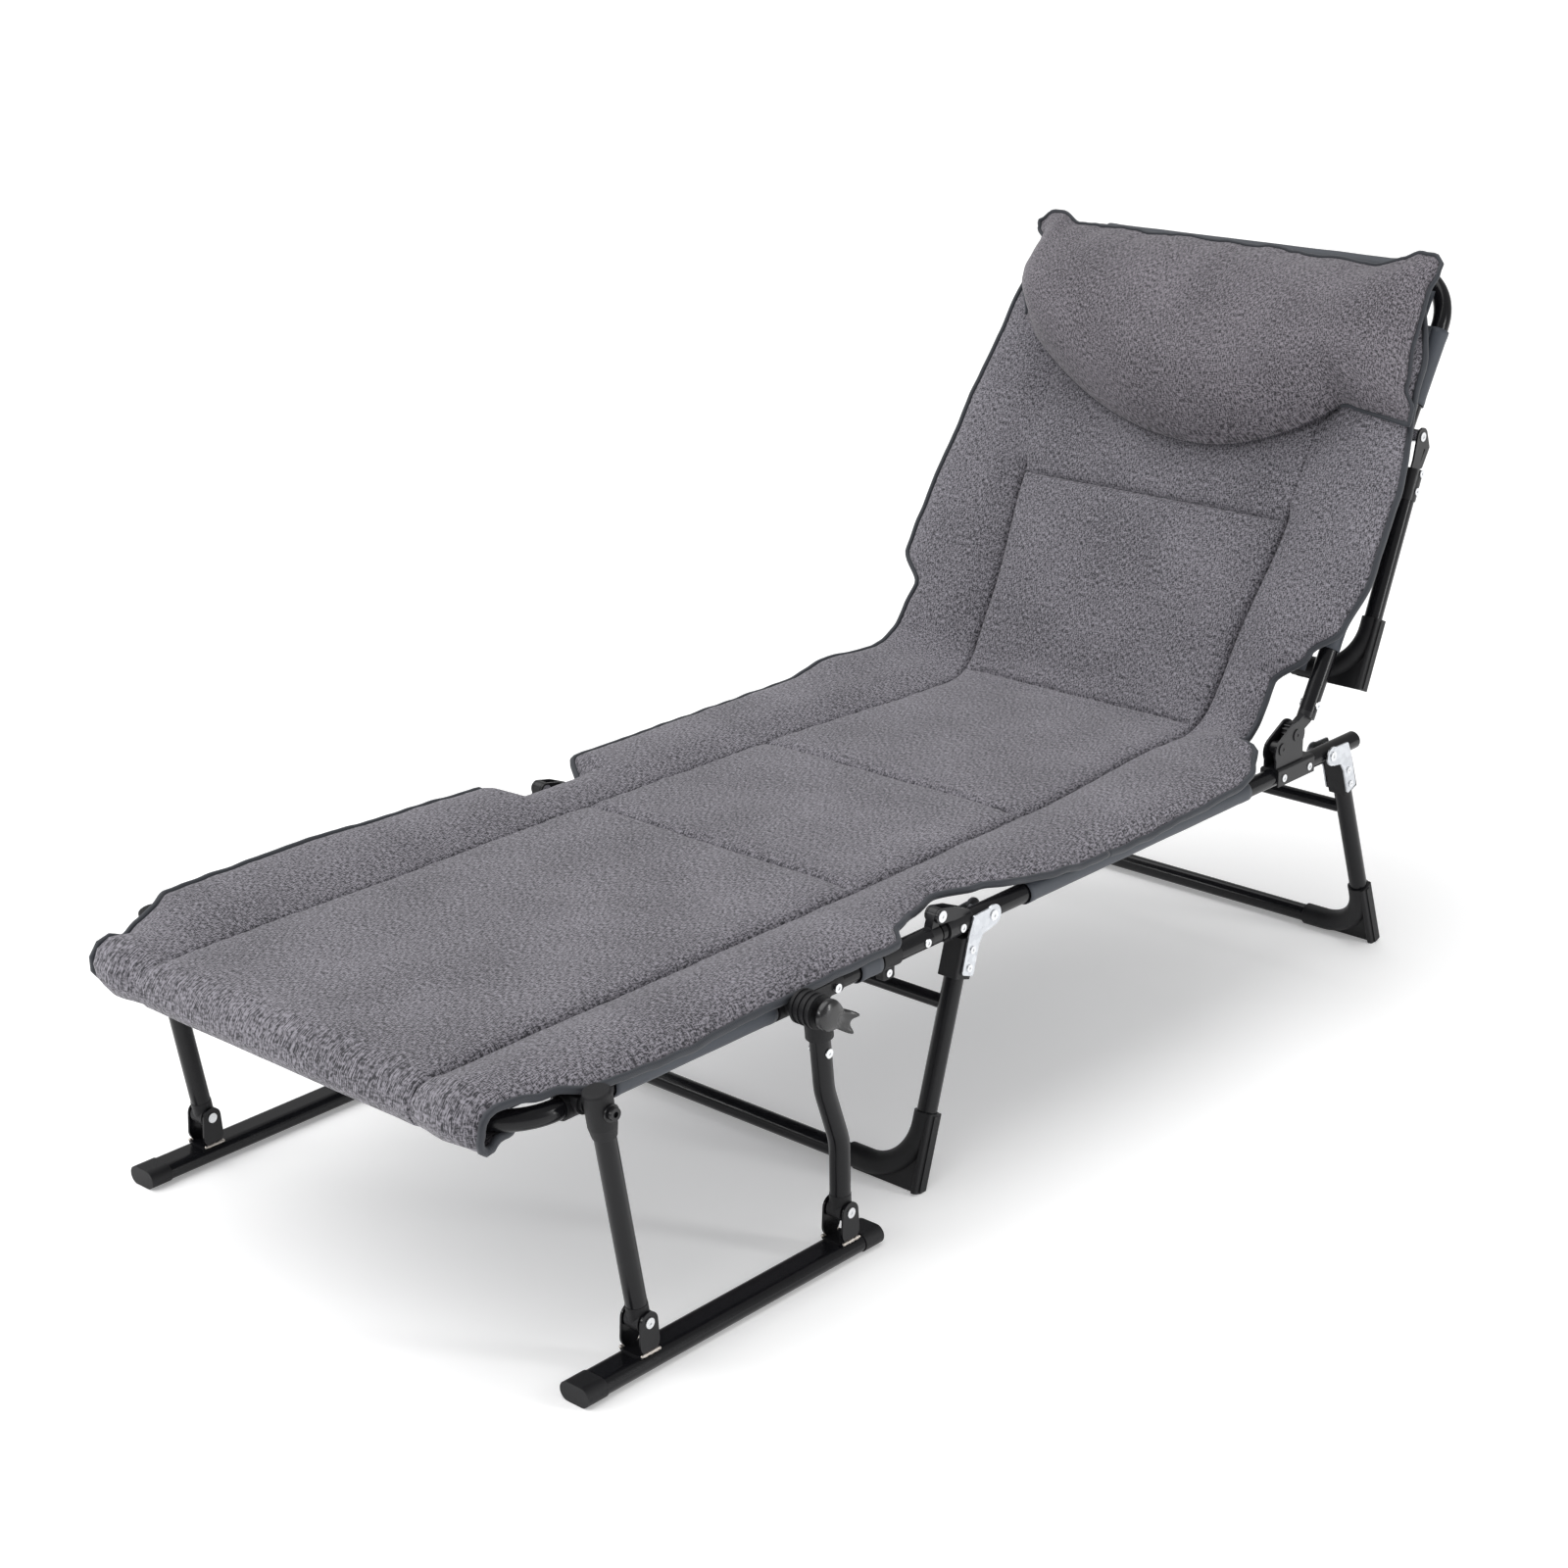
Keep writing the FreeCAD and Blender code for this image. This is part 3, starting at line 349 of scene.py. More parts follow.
pad_start = hood_inside - hood_drop
pad_end = on_pad(head_end)
split = 0.090
foot_width = ((pad_start, 0.266), (-0.850, 0.281), (-0.812, 0.289), (-0.760, 0.296), (-0.735, 0.302),
              (-0.702, 0.319))
half_width = {
    -1: (*foot_width, (-0.262, 0.322), (-0.238, 0.290), (-0.134, 0.288), (-0.108, 0.321), (0.345, 0.322),
         (0.400, 0.314), (0.440, 0.312), (on_pad(0.030), 0.303), (on_pad(0.062), 0.298),
         (on_pad(0.105), 0.330),
         (on_pad(0.190), 0.327), (on_pad(0.300), 0.319), (on_pad(0.450), 0.306), (pad_end, 0.284)),
    1: (*foot_width, (-0.600, 0.322), (-0.500, 0.3135), (-0.262, 0.3135), (-0.236, 0.292),
        (-0.200, 0.281), (-0.150, 0.268),
        (-0.100, 0.287), (-0.055, 0.304), (0.010, 0.319), (0.365, 0.321), (0.396, 0.306), (0.418, 0.272),
        (0.445, 0.254), (on_pad(0.045), 0.254), (on_pad(0.088), 0.292), (on_pad(0.125), 0.328),
        (on_pad(0.185), 0.341), (on_pad(0.290), 0.339), (on_pad(0.450), 0.315), (pad_end, 0.280)),
}
seam_place = ((pad_start, 0.206), (-0.300, 0.204), (0.100, 0.196), (0.390, 0.176), (on_pad(0.060), 0.186),
              (on_pad(0.250), 0.202), (pad_end, 0.208))
cross_seams = (-0.201, split, 0.462, on_pad(0.242))
edge_lift = {
    -1: ((-0.840, 0.0), (-0.790, 0.010), (-0.704, 0.026), (-0.520, 0.027), (-0.390, 0.021), (-0.262, 0.016),
         (-0.232, -0.008), (-0.136, -0.008), (-0.106, 0.014), (0.264, 0.014), (0.350, 0.026),
         (0.420, 0.024), (on_pad(0.040), 0.020), (on_pad(0.130), 0.022), (pad_end, 0.014)),
    1: ((-0.840, 0.0), (-0.790, 0.006), (-0.640, -0.003), (-0.560, -0.006), (-0.262, -0.002),
        (-0.232, 0.004),
        (-0.100, 0.006), (0.000, 0.0), (0.060, -0.005), (0.140, -0.007), (0.250, -0.003), (0.340, 0.002),
        (0.385, 0.016), (0.406, 0.030), (0.435, 0.018), (0.470, 0.006), (on_pad(0.040), 0.004),
        (on_pad(0.130), 0.012), (pad_end, 0.012)),
}
edge_thickness = 0.0045


def smooth(t):
    t = min(max(t, 0.0), 1.0)
    return t * t * (3 - 2 * t)


def pad_section(station, side, across):
    """Heights of the pad's underside and top above the bed line, at across metres from the middle."""
    width = table_value(half_width[side], station)
    seam = min(table_value(seam_place, station), width - 0.045)
    to_cross = min(abs(station - place) for place in cross_seams)
    to_end = min(station - pad_start, pad_end - station)
    seam_sewn = smooth((station + 0.815) / 0.03) * (1 - smooth((station - on_pad(0.245)) / 0.02) * 0.85)
    if across < seam:
        to_seam = seam - across
        plump = 0.0145
        soft = 0.014
        low = 0.0075
        lift = 0.0
        cross = 0.38 * math.exp(-to_cross / 0.012) + 0.34 * math.exp(-to_cross / 0.0022)
        cross = 1 - cross * smooth(to_seam / 0.012)
    else:
        to_seam = across - seam
        q = to_seam / (width - seam)
        plump = 0.0125 + 0.0085 * smooth(to_seam / 0.05)
        soft = 0.015
        low = edge_thickness + 0.003 * (1 - q)
        cross = 1.0
        rise = table_value(edge_lift[side], station)
        lift = rise * (q * q if rise > 0 else smooth((across - width + 0.012) / 0.012))
    rim = 1 - math.exp(-max(min(width - across, to_end), 0.0) / 0.017)
    valley = 1 - seam_sewn * (0.52 * math.exp(-to_seam / soft) + 0.46 * math.exp(-to_seam / 0.0026))
    place = Vector((side * across, station, 0))
    waves = noise.noise(place * 7.0) * 0.0014 + noise.noise(place * 19.0 + Vector((5, 0, 0))) * 0.0007
    near = min(to_seam, to_cross if across < seam else 1.0, max(width - across, 0.0) * 0.8)
    pucker = noise.noise(Vector((side * across * 26, station * 40, 2))) + 0.5 * noise.noise(place * 85)
    pucker *= 0.0017 * math.exp(-abs(near - 0.012) / 0.012) * smooth(near / 0.006)
    loose = 0.0016 + 0.0075 * (1 - smooth((station + 0.800) / 0.10))
    near_edge = smooth((across - width + 0.030) / 0.030)
    lift += noise.noise(Vector((station * 38, side * 7.0, 1))) * loose * near_edge
    slim = 1 - 0.75 * smooth((-0.815 - station) / 0.020)
    return lift, lift + (low + plump * rim * valley * cross + (waves + pucker) * rim) * slim


def heather(tree, dark, light):
    """Plain weave of mixed yarns: slubs along and across the cloth, and a fine even thread."""
    place = tree.node("ShaderNodeUVMap", {"uv_map": "cloth"})
    along = speckle(tree, 0.0012, 1.0, (1, 0.24, 1), place)
    across = speckle(tree, 0.0012, 1.0, (0.24, 1, 1), place)
    fine = speckle(tree, 0.0010, 1.0, (1, 1, 1), place)
    drift = speckle(tree, 0.12, 2.0, (1, 1, 1), place)
    yarn_set = {"Vector": place, "Scale": 210.0, "Distortion": 0.6}
    warp = tree.node("ShaderNodeTexWave", {"bands_direction": "X"}, **yarn_set)
    weft = tree.node("ShaderNodeTexWave", {"bands_direction": "Y"}, **yarn_set)
    fleck = along * 0.6 + across * 0.4 + fine * 0.3 + drift * 0.1 - 0.2
    shade = tree.node("ShaderNodeMapRange", {"clamp": True}, 0, i0=fleck, i1=0.42, i2=0.60, i3=0.0, i4=1.0)
    thread = warp * 0.3 + weft * 0.3 + along * 0.4
    return shade.blend(dark, light), fine * 0.1 + 0.82, thread, 0.00008


def mattress_cloth(tree):
    return heather(tree, (0.026, 0.025, 0.031), (0.262, 0.250, 0.282))


mattress_finish = finish("heather_mattress_cloth", mattress_cloth, Sheen_Weight=0.12, Sheen_Roughness=0.5)
columns_middle, columns_side = 78, 26
row_step = 0.0052


def pad_shell(name, first, last):
    """One length of the mattress, closed at both ends, with its cloth measured out in metres."""
    even = round((last - first) / row_step)
    stations = [first + (last - first) * k / even for k in range(even + 1)]
    for seam in cross_seams:
        if first < seam < last:
            stations += [seam + off for off in (-0.0042, -0.0017, 0.0, 0.0017, 0.0042)]
    stations = sorted(stations)
    stations = [a for a, b in zip(stations, stations[1:]) if b - a > 0.0004] + [last]
    rows = len(stations)
    columns = 2 * columns_side + columns_middle + 1
    top, under, cloth = [], [], []
    for row in range(rows):
        station = stations[row]
        middle, out = bed_line(station)
        for column in range(columns):
            k = column - columns // 2
            side = -1 if k < 0 else 1
            width = table_value(half_width[side], station)
            seam = min(table_value(seam_place, station), width - 0.045)
            inner = columns_middle / 2
            if abs(k) <= inner:
                across = seam * math.sin(abs(k) / inner * math.pi / 2)
            else:
                q = (abs(k) - inner) / columns_side
                across = seam + (width - seam) * (1 - math.cos(q * math.pi)) / 2
            low, high = pad_section(station, side, across)
            for where, rise in ((under, low), (top, high)):
                spot = middle + out * rise
                where.append((side * across, spot.x, spot.y))
            cloth.append((side * across, station))
    points = under + top
    count = len(under)
    faces = []
    for row in range(rows - 1):
        for column in range(columns - 1):
            a = row * columns + column
            b, c, d = a + 1, a + columns + 1, a + columns
            faces.append((a, d, c, b))
            faces.append((a + count, b + count, c + count, d + count))
    rim = [row * columns for row in range(rows)]
    for a, b in zip(rim, rim[1:]):
        faces.append((b, a, a + count, b + count))
        far_a, far_b = a + columns - 1, b + columns - 1
        faces.append((far_a, far_b, far_b + count, far_a + count))
    ends = []
    for start, flip in ((0, False), ((rows - 1) * columns, True)):
        for column in range(columns - 1):
            a = start + column
            face = (a, a + 1, a + 1 + count, a + count)
            ends.append(len(faces))
            faces.append(tuple(reversed(face)) if flip else face)
    obj = piece(name, points, faces, [mattress_finish])
    layer = obj.data.uv_layers.new(name="cloth")
    for loop in obj.data.loops:
        layer.data[loop.index].uv = cloth[loop.vertex_index % count]
    sharp = obj.data.attributes.new("sharp_face", "BOOLEAN", "FACE")
    for index in ends:
        sharp.data[index].value = True
    return obj


foot_mattress = pad_shell("foot_mattress", pad_start, split)
head_mattress = pad_shell("head_mattress", split, pad_end)


# Binding: a folded slate tape sewn over the mattress edge all round.
# It is a narrow woven polyester strip, drawn a little tight, so it ripples.
def slate_cloth(tree):
    place = tree.node("ShaderNodeTexCoord", output="Object")
    yarn = speckle(tree, 0.0011, 2.0, (1, 1, 1), place)
    drift = speckle(tree, 0.05, 3.0, (1, 1, 1), place)
    rib = tree.node("ShaderNodeTexWave", {"bands_direction": "DIAGONAL"}, Vector=place, Scale=260.0)
    colour = (drift * 0.6 + yarn * 0.4).blend((0.010, 0.012, 0.017), (0.030, 0.035, 0.046))
    return colour, yarn * 0.15 + 0.55, rib, 0.0001


slate_finish = finish("slate_woven_tape", slate_cloth, Sheen_Weight=0.15)


def cord_mesh(name, path, radius, flatness, materials, closed=False):
    """A round cord of 10 sides along a path of points, flattened by flatness and closed at its ends."""
    sides = 10
    points, faces = [], []
    carried = None
    for index, spot in enumerate(path):
        before = path[index - 1] if index or closed else spot
        after = path[(index + 1) % len(path)] if index + 1 < len(path) or closed else spot
        heading = (after - before).normalized()
        if carried is None:
            carried = heading.orthogonal().normalized()
        carried = (carried - heading * carried.dot(heading)).normalized()
        other = heading.cross(carried)
        for k in range(sides):
            a = 2 * math.pi * k / sides
            sideways = carried * (radius * math.cos(a))
            points.append(spot + sideways + other * (radius * flatness * math.sin(a)))
    rings = len(path)
    for ring in range(rings if closed else rings - 1):
        for k in range(sides):
            a = ring * sides + k
            b = ring * sides + (k + 1) % sides
            c = ((ring + 1) % rings) * sides + (k + 1) % sides
            d = ((ring + 1) % rings) * sides + k
            faces.append((a, b, c, d))
    if not closed:
        faces.append(tuple(reversed(range(sides))))
        faces.append(tuple(range((rings - 1) * sides, rings * sides)))
    return piece(name, points, faces, materials)


def edge_point(station, side):
    middle, out = bed_line(station)
    width = table_value(half_width[side], station)
    low, high = pad_section(station, side, width)
    spot = middle + out * ((low + high) / 2 + (0.0030 if side < 0 else 0.0008))
    return Vector((side * (width + 0.0005), spot.x, spot.y))


def binding_path(first, last, end_station):
    """Down the left edge, across the pad's own end and back along the right edge."""
    steps = round(abs(last - first) / 0.005)
    stations = [first + (last - first) * k / steps for k in range(steps + 1)]
    path = [edge_point(station, 1) for station in stations]
    middle, out = bed_line(end_station)
    left, right_side = (table_value(half_width[side], end_station) for side in (1, -1))
    for k in range(1, 100):
        x = left - (left + right_side) * k / 100
        low, high = pad_section(end_station, 1 if x > 0 else -1, abs(x))
        spot = middle + out * (high + low) / 2
        wave = noise.noise(Vector((x * 24, 3, 1))) * 0.0014
        path.append(Vector((x, spot.x, spot.y)) + Vector((0, out.x * wave, out.y * wave)))
    path += [edge_point(station, -1) for station in reversed(stations)]
    return path


foot_binding = cord_mesh("foot_mattress_binding", binding_path(split, pad_start, pad_start), 0.0048, 0.8,
                         [slate_finish])
head_binding = cord_mesh("head_mattress_binding", binding_path(split, pad_end, pad_end), 0.0048, 0.8,
                         [slate_finish])

for obj, slot_name in ((foot_mattress, "mattress_fabric"), (foot_binding, "sling_fabric")):
    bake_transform(obj)
for obj, slot_name in ((head_mattress, "mattress_fabric"), (head_binding, "sling_fabric")):
    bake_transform(obj)
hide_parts("foot_pad")
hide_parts("seat_pad", "back_pad")


# Head pillow: a half-moon bolster sewn across the top of the backrest.
# Heather polyester over loose fibre, with binding along its top and ends.
# Its lower seam is sewn to the mattress in an arc that dips at the middle.
pillow_top = ((-0.303, 0.577), (-0.290, 0.590), (-0.272, 0.590), (-0.235, 0.577), (0.000, 0.578),
              (0.215, 0.572), (0.250, 0.582), (0.272, 0.592), (0.290, 0.593), (0.306, 0.583))
pillow_right = ((0.0, -0.270), (0.45, -0.296), (0.82, -0.287), (0.93, -0.299), (1.0, -0.303))
pillow_left = ((0.0, 0.331), (0.08, 0.329), (0.22, 0.311), (0.50, 0.301), (0.82, 0.298), (0.93, 0.304),
               (1.0, 0.302))


pillow_seat = 0.0455
pillow_plump = 0.074


def low_seam(x):
    """How far up the back the pillow's lower seam runs at x: an arc, nearly level at its two ends."""
    arc = 0.313 + (2.15 if x > 0.045 else 1.25) * (x - 0.045) ** 2
    left_ear, right_ear = smooth((x - 0.212) / 0.045), smooth((-0.245 - x) / 0.045)
    arc += (0.393 - 0.13 * (x - 0.238) - arc) * left_ear
    return arc + (0.438 - arc) * right_ear


def pillow_point(u, v, front):
    """A place on the pillow, from its right end to its left by u and from seam to top by v."""
    right_x, left_x = table_value(pillow_right, v), table_value(pillow_left, v)
    x = right_x + (left_x - right_x) * u
    foot = table_value(pillow_right, 0) + (table_value(pillow_left, 0) - table_value(pillow_right, 0)) * u
    head = table_value(pillow_right, 1) + (table_value(pillow_left, 1) - table_value(pillow_right, 1)) * u
    low, top = low_seam(foot), table_value(pillow_top, head)
    ruffle = noise.noise(Vector((x * 21, 3, 8))) * 0.005 + noise.noise(Vector((x * 60, 7, 8))) * 0.002
    s = low + (top + ruffle - low) * v
    from_end = (left_x - right_x) * min(u, 1 - u)
    from_low, from_top = (top - low) * v, (top - low) * (1 - v)
    flap = smooth((u - 0.86) / 0.10) + smooth((0.10 - u) / 0.08)
    ends = (1 - math.exp(-from_end / 0.030)) * (1 - 0.75 * flap * math.exp(-from_low / 0.035))
    full = 0.36
    ups = (1 - (1 - min(v / full, 1.0)) ** 2) ** 0.6
    downs = (1 - 0.52 * max((v - full) / (1 - full), 0.0) ** 2) * (1 - math.exp(-from_top / 0.022))
    puff = ends * ups * downs
    if not front:
        puff = smooth(min(from_end, from_low, from_top) / 0.03)
        n = 0.045 - 0.004 * puff
    else:
        place = Vector((x, s, 0))
        n = pillow_seat + pillow_plump * puff
        n += (noise.noise(place * 7.0) * 0.005 + noise.noise(place * 18.0) * 0.0016) * puff
        top_pleat = noise.noise(Vector((x * 48, s * 8, 4))) * 0.009 * math.exp(-from_top / 0.026)
        n += top_pleat * smooth(from_top / 0.012)
        end_pleat = noise.noise(Vector((x * 8, s * 46, 6))) * 0.008 * math.exp(-from_end / 0.026)
        n += end_pleat * smooth(from_end / 0.012)
        low_pleat = noise.noise(Vector((x * 34, s * 6, 9))) * 0.0022 * math.exp(-from_low / 0.02)
        n += low_pleat * smooth(from_low / 0.010)
    spot = back_foot + up_back * s + off_back * n
    return Vector((x, spot.x, spot.y))


def make_pillow():
    wide, tall = 122, 52
    front = [pillow_point(c / wide, r / tall, True) for r in range(tall + 1) for c in range(wide + 1)]
    rear = [pillow_point(c / wide, r / tall, False) for r in range(tall + 1) for c in range(wide + 1)]
    count = len(front)
    faces = []
    for r in range(tall):
        for c in range(wide):
            a = r * (wide + 1) + c
            b, d = a + 1, a + wide + 1
            faces.append((a, b, d + 1, d))
            faces.append((a + count, d + count, d + 1 + count, b + count))
    rim = list(range(wide + 1))
    rim += [r * (wide + 1) + wide for r in range(1, tall + 1)]
    rim += [tall * (wide + 1) + c for c in range(wide - 1, -1, -1)]
    rim += [r * (wide + 1) for r in range(tall - 1, 0, -1)]
    for a, b in zip(rim, rim[1:] + rim[:1]):
        faces.append((b, a, a + count, b + count))
    obj = piece("pillow_cushion", [tuple(p) for p in front + rear], faces, [pillow_finish])
    layer = obj.data.uv_layers.new(name="cloth")
    for loop in obj.data.loops:
        index = loop.vertex_index % count
        r, c = divmod(index, wide + 1)
        layer.data[loop.index].uv = (pillow_wide * c / wide, pillow_tall * r / tall)
    return obj, [Vector(front[i]) for i in rim], wide


pillow_wide, pillow_tall = 0.610, 0.270


def pillow_cloth(tree):
    return heather(tree, (0.024, 0.022, 0.027), (0.240, 0.222, 0.250))


pillow_finish = finish("heather_pillow_cloth", pillow_cloth, Sheen_Weight=0.12, Sheen_Roughness=0.5)
pillow, pillow_rim, pillow_columns = make_pillow()
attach(pillow, "backrest")
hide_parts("pillow")
bound_from = round(pillow_columns * 0.84)
bound_rim = pillow_rim[bound_from:-2]
pillow_binding = cord_mesh("pillow_binding", bound_rim, 0.0036, 0.75, [slate_finish])
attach(pillow_binding, "backrest")


# Slings: slate cloth stretched between the side tubes under the mattress, one to each section.
# Each side is turned over and sewn into sleeves that slip on the tube between its fittings.
rail_x = 0.300
rail_z = 0.285
sleeve_r = 0.0121
cloth_gauge = 0.0009
sheet_half = 0.2855
sheet_height = 0.0122
arch_top = 0.586
arch_sleeve_half = 0.222


def top_sleeve_at(v, u):
    """The sleeve round the top bar of the backrest, as (x, up the back, off it)."""
    x = arch_sleeve_half * (2 * v - 1)
    a = math.pi * (0.62 + 1.96 * u)
    slack = max(noise.noise(Vector((x * 19, math.cos(a) * 2.2, 5))) * 0.0005, -0.0001)
    hem = 0.0004 if arch_sleeve_half - abs(x) < 0.012 else 0.0
    r = sleeve_r + 0.0002 + slack + hem
    return x, arch_top + r * math.cos(a), r * math.sin(a)


def sling_mesh(name, first, last, sleeves, to_place):
    """A stretched sheet with sleeves. to_place turns (x, along, above the tubes' middle) into metres."""
    points, faces = [], []

    def patch(rows, columns, at):
        base = len(points)
        for r in range(rows + 1):
            for c in range(columns + 1):
                points.append(to_place(*at(r / rows, c / columns)))
        for r in range(rows):
            for c in range(columns):
                a = base + r * (columns + 1) + c
                faces.append((a, a + 1, a + columns + 2, a + columns + 1))

    def sheet_at(v, u):
        x = (2 * u - 1) * sheet_half
        y = first + (last - first) * v
        drum = math.sin(math.pi * u) * 0.0016
        wave = noise.noise(Vector((x * 7, y * 26, 2))) * 0.0006
        return x, y, sheet_height - drum + wave

    patch(round((last - first) / 0.010), 56, sheet_at)
    for side in (1, -1):
        for start, end in sleeves:
            def sleeve_at(v, u, side=side, start=start, end=end):
                y = start + (end - start) * v
                a = math.pi * (0.62 + 1.96 * u)
                slack = noise.noise(Vector((y * 17, math.cos(a) * 2.2, side * 3))) * 0.00035
                hem = 0.0004 if min(y - start, end - y) < 0.012 else 0.0
                r = sleeve_r + 0.0002 + max(slack, -0.0001) + hem
                return side * (rail_x + r * math.cos(a)), y, r * math.sin(a)

            def band_at(v, u, side=side, start=start, end=end):
                return side * (0.2850 + 0.0130 * u), start + (end - start) * v, 0.0124
            patch(round((end - start) / 0.006), 28, sleeve_at)
            patch(round((end - start) / 0.020), 3, band_at)
    if name == "back_cloth":
        patch(96, 28, top_sleeve_at)
    obj = piece(name, points, faces, [sling_finish])
    wall = obj.modifiers.new("wall", "SOLIDIFY")
    wall.thickness = cloth_gauge
    wall.offset = 0.0
    made = bpy.data.meshes.new_from_object(obj.evaluated_get(bpy.context.evaluated_depsgraph_get()))
    obj.modifiers.clear()
    obj.data = made
    return obj


def sling_cloth(tree):
    place = tree.node("ShaderNodeTexCoord", output="Object")
    yarn = speckle(tree, 0.0016, 2.0, (1, 1, 1), place)
    drift = speckle(tree, 0.09, 3.0, (1, 1, 1), place)
    weave = tree.node("ShaderNodeTexWave", {"bands_direction": "Y"}, Vector=place, Scale=240.0)
    colour = (drift * 0.7 + yarn * 0.3).blend((0.022, 0.027, 0.036), (0.048, 0.056, 0.072))
    return colour, yarn * 0.14 + 0.5, weave, 0.00008


sling_finish = finish("slate_sling_cloth", sling_cloth, Sheen_Weight=0.1)


def flat_place(x, along, height):
    return (x, along, rail_z + height)


def slope_place(x, along, height):
    spot = back_foot + up_back * along + off_back * height
    return (x, spot.x, spot.y)


for name, body, first, last, sleeves, to_place, rests in (
        ("foot_cloth", "foot_section", -0.771, -0.242, ((-0.663, -0.440), (-0.313, -0.280)), flat_place,
         ["foot_frame"]),
        ("seat_cloth", "seat_frame", -0.036, 0.430, ((-0.036, 0.383),), flat_place,
         ["seat_rail_left", "seat_rail_right"]),
        ("back_cloth", "backrest", 0.070, 0.560, ((0.104, 0.345), (0.420, 0.516)), slope_place,
         ["back_frame"])):
    cloth = sling_mesh(name, first, last, sleeves, to_place)
    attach(cloth, body)
    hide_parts(name.replace("_cloth", "_sling"))


# Stitching: lock stitches along the quilting seams, and a bolder row under the pillow.
# Slate polyester thread, each stitch a short twisted bar lying in its seam.
def row_tree(name, shape):
    """Geometry nodes that lay one small shape after another along an edge line."""
    tree = bpy.data.node_groups.new(name, "GeometryNodeTree")
    face = tree.interface
    face.new_socket("Line", in_out="INPUT", socket_type="NodeSocketGeometry")
    for label in ("Spacing", "Radius", "Length"):
        face.new_socket(label, in_out="INPUT", socket_type="NodeSocketFloat")
    face.new_socket("Finish", in_out="INPUT", socket_type="NodeSocketMaterial")
    face.new_socket("Row", in_out="OUTPUT", socket_type="NodeSocketGeometry")
    given = tree.nodes.new("NodeGroupInput")
    result = tree.nodes.new("NodeGroupOutput")
    flow = Wire(tree)

    def wired(label):
        return Wire(tree, given.outputs[label])

    curve = flow.node("GeometryNodeMeshToCurve", Mesh=wired("Line"))
    tree_points = tree.nodes.new("GeometryNodeCurveToPoints")
    tree_points.mode = "LENGTH"
    tree.links.new(curve.socket, tree_points.inputs["Curve"])
    tree.links.new(given.outputs["Spacing"], tree_points.inputs["Length"])
    if shape == "bar":
        unit = flow.node("GeometryNodeMeshCylinder", Vertices=6, Radius=wired("Radius"),
                         Depth=wired("Length"))
    else:
        unit = flow.node("GeometryNodeMeshIcoSphere", Radius=wired("Radius"), Subdivisions=2)
    uneven = flow.node("FunctionNodeRandomValue", {"data_type": "FLOAT"}, 1, i2=0.8, i3=1.2, Seed=4)
    size = flow.node("ShaderNodeCombineXYZ", X=uneven, Y=uneven, Z=1.0)
    placed = tree.nodes.new("GeometryNodeInstanceOnPoints")
    tree.links.new(tree_points.outputs["Points"], placed.inputs["Points"])
    tree.links.new(tree_points.outputs["Rotation"], placed.inputs["Rotation"])
    tree.links.new(unit.socket, placed.inputs["Instance"])
    tree.links.new(size.socket, placed.inputs["Scale"])
    real = flow.node("GeometryNodeRealizeInstances", Geometry=Wire(tree, placed.outputs["Instances"]))
    coloured = flow.node("GeometryNodeSetMaterial", Geometry=real, Material=wired("Finish"))
    tree.links.new(coloured.socket, result.inputs["Row"])
    return tree


def laid_row(name, lines, tree, spacing, radius, length, material):
    """A plain mesh of the tree's shapes along lines of points in metres."""
    points, edges = [], []
    for line in lines:
        start = len(points)
        points += [tuple(spot) for spot in line]
        edges += [(start + k, start + k + 1) for k in range(len(line) - 1)]
    mesh = bpy.data.meshes.new(name)
    mesh.from_pydata(points, edges, [])
    obj = bpy.data.objects.new(name, mesh)
    bpy.context.scene.collection.objects.link(obj)
    row = obj.modifiers.new("row", "NODES")
    row.node_group = tree
    names = {item.name: item.identifier for item in tree.interface.items_tree}
    given = {"Spacing": spacing, "Radius": radius, "Length": length, "Finish": material}
    for label, value in given.items():
        row[names[label]] = value
    made = bpy.data.meshes.new_from_object(obj.evaluated_get(bpy.context.evaluated_depsgraph_get()))
    obj.modifiers.clear()
    obj.data = made
    return obj


stitch_tree = row_tree("stitch_row", "bar")


def seam_line(side, first, last):
    line = []
    for k in range(round((last - first) / 0.004) + 1):
        station = min(first + 0.004 * k, last)
        middle, out = bed_line(station)
        width = table_value(half_width[side], station)
        across = min(table_value(seam_place, station), width - 0.045)
        spot = middle + out * (pad_section(station, side, across)[1] + 0.0002)
        line.append(Vector((side * across, spot.x, spot.y)))
    return line


def cross_line(station):
    line = []
    for k in range(101):
        across = table_value(seam_place, station) * (k / 50 - 1)
        middle, out = bed_line(station)
        spot = middle + out * (pad_section(station, 1 if across > 0 else -1, abs(across))[1] + 0.0002)
        line.append(Vector((across, spot.x, spot.y)))
    return line


for name, ends, crossings, bodies, start, end in (
        ("foot_mattress_stitches", (-0.800, split), (-0.201,), ("foot_section", "seat_frame"),
         (0, -0.235, 0.306), (0, -0.129, 0.306)),
        ("head_mattress_stitches", (split, on_pad(0.242)), (split, 0.462, on_pad(0.242)),
         ("seat_frame", "backrest"),
         (0, 0.425, 0.300), (0, 0.500, 0.375))):
    lines = [seam_line(side, *ends) for side in (1, -1)] + [cross_line(station) for station in crossings]
    stitches = laid_row(name, lines, stitch_tree, 0.0036, 0.00042, 0.0026, slate_finish)
    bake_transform(stitches)

smile = []
for k in range(round(pillow_columns * 0.10), round(pillow_columns * 0.86)):
    spot = pillow_point(k / pillow_columns, 0.0, True)
    smile.append(spot + Vector((0, off_back.x, off_back.y)) * 0.0012)
pillow_stitches = laid_row("pillow_stitches", [smile], stitch_tree, 0.0042, 0.0006, 0.0028, slate_finish)
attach(pillow_stitches, "backrest")


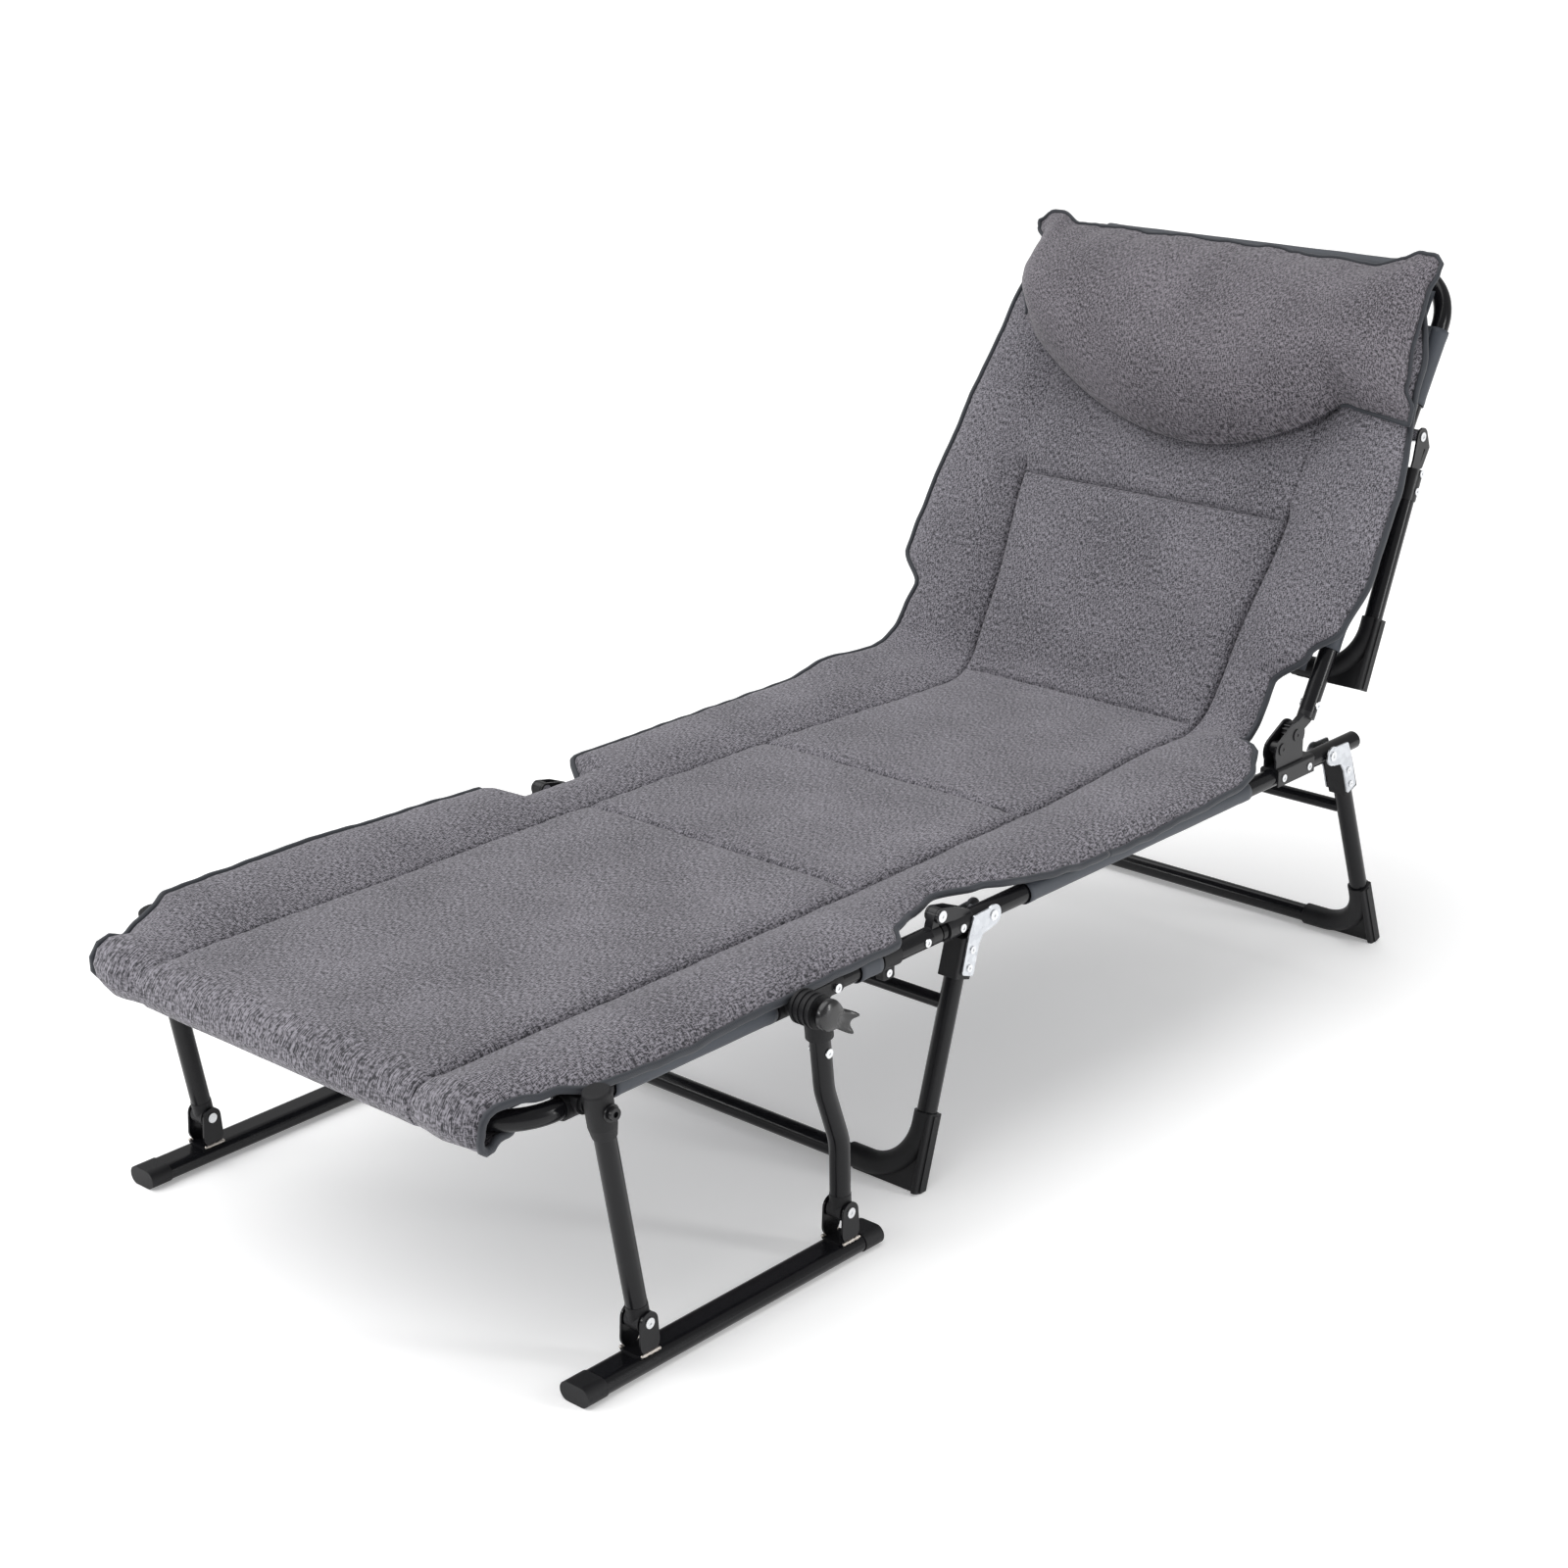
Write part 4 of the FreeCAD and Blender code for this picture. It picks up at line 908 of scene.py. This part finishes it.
# Welds: the beads down both sides of each clevis, where it is joined to its skid.
# Bare steel left bright and straw-brown by the torch, in overlapping scales.
def weld_steel(tree):
    tint = speckle(tree, 0.004, 3.0)
    return tint.blend((0.42, 0.36, 0.30), (0.66, 0.64, 0.62)), tint * 0.2 + 0.28, tint, 0.0001


weld_finish = finish("bare_weld_bead", weld_steel, Metallic=1.0)
weld_tree = row_tree("weld_scales", "scale")
for side_name, side in (("left", 1), ("right", -1)):
    low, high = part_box("skid_" + side_name)
    middle_x = (low.x + high.x) / 2
    deck = 0.0222
    beads = []
    for pin_y in (-0.6689, -0.3786):
        for x in (middle_x - 0.0146, middle_x + 0.0146):
            wander = [noise.noise(Vector((k * 0.9, x * 50, pin_y * 9))) * 0.0006 for k in range(9)]
            beads.append([Vector((x, pin_y - 0.0115 + 0.0029 * k, deck + wander[k])) for k in range(9)])
    bead = laid_row("skid_welds_" + side_name, beads, weld_tree, 0.0016, 0.0019, 0.0, weld_finish)
    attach(bead, "skid_" + side_name)


# Wing knobs: a round cap with one wing that ends in two points, moulded over the head of a steel stud.
# Glass-filled nylon with a glossy thumb face. The wing leans outwards and thins towards its points.
def glossy_nylon(tree):
    flow = speckle(tree, 0.015, 3.0)
    return flow.blend((0.006, 0.006, 0.007), (0.012, 0.012, 0.013)), flow * 0.16 + 0.2, flow, 0.0001


knob_finish = finish("glossy_black_nylon", glossy_nylon, Coat_Weight=0.2)


def knob_reach(angle):
    """How far the knob's edge is from its middle at an angle from the wing, which ends in two points."""
    wing = math.exp(-(angle / 0.50) ** 2)
    tips = math.exp(-((angle - 0.27) / 0.13) ** 2) + math.exp(-((angle + 0.27) / 0.13) ** 2)
    return 0.0165 + 0.0150 * wing + 0.0105 * tips


for side_name, side in (("left", 1), ("right", -1)):
    hub_x = 0.3525
    pivot_y, pivot_z = -0.4186, 0.2905
    wing_heading = math.radians(-30)
    layers = ((0.0, 0.62), (0.0035, 0.72), (0.0045, 0.97), (0.0062, 1.0), (0.0100, 1.0), (0.0122, 0.96),
              (0.0136, 0.86), (0.0146, 0.62), (0.0150, 0.30))
    around = 132
    points, faces = [], []
    for depth, share in layers:
        for k in range(around):
            angle = 2 * math.pi * k / around - math.pi
            reach = knob_reach(angle) * share
            tip = max(reach - 0.0170, 0.0) / 0.0190
            dished = depth > 0.008 and reach > 0.014
            hollow = -0.0030 * math.exp(-((tip - 0.25) / 0.22) ** 2) if dished else 0.0
            y = pivot_y + reach * math.cos(angle + wing_heading)
            z = pivot_z + reach * math.sin(angle + wing_heading)
            points.append((side * (hub_x + depth * (1 - 0.40 * tip) + hollow + 0.0085 * tip * tip), y, z))
    for ring in range(len(layers) - 1):
        for k in range(around):
            a, b = ring * around + k, ring * around + (k + 1) % around
            face = (a, b, b + around, a + around)
            faces.append(face if side > 0 else tuple(reversed(face)))
    caps = (tuple(reversed(range(around))), tuple(range((len(layers) - 1) * around, len(layers) * around)))
    faces += caps if side > 0 else [tuple(reversed(cap)) for cap in caps]
    grip = piece("wing_knob_grip_" + side_name, points, faces, [knob_finish])
    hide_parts("wing_knob_" + side_name)
    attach(grip, "wing_knob_" + side_name)
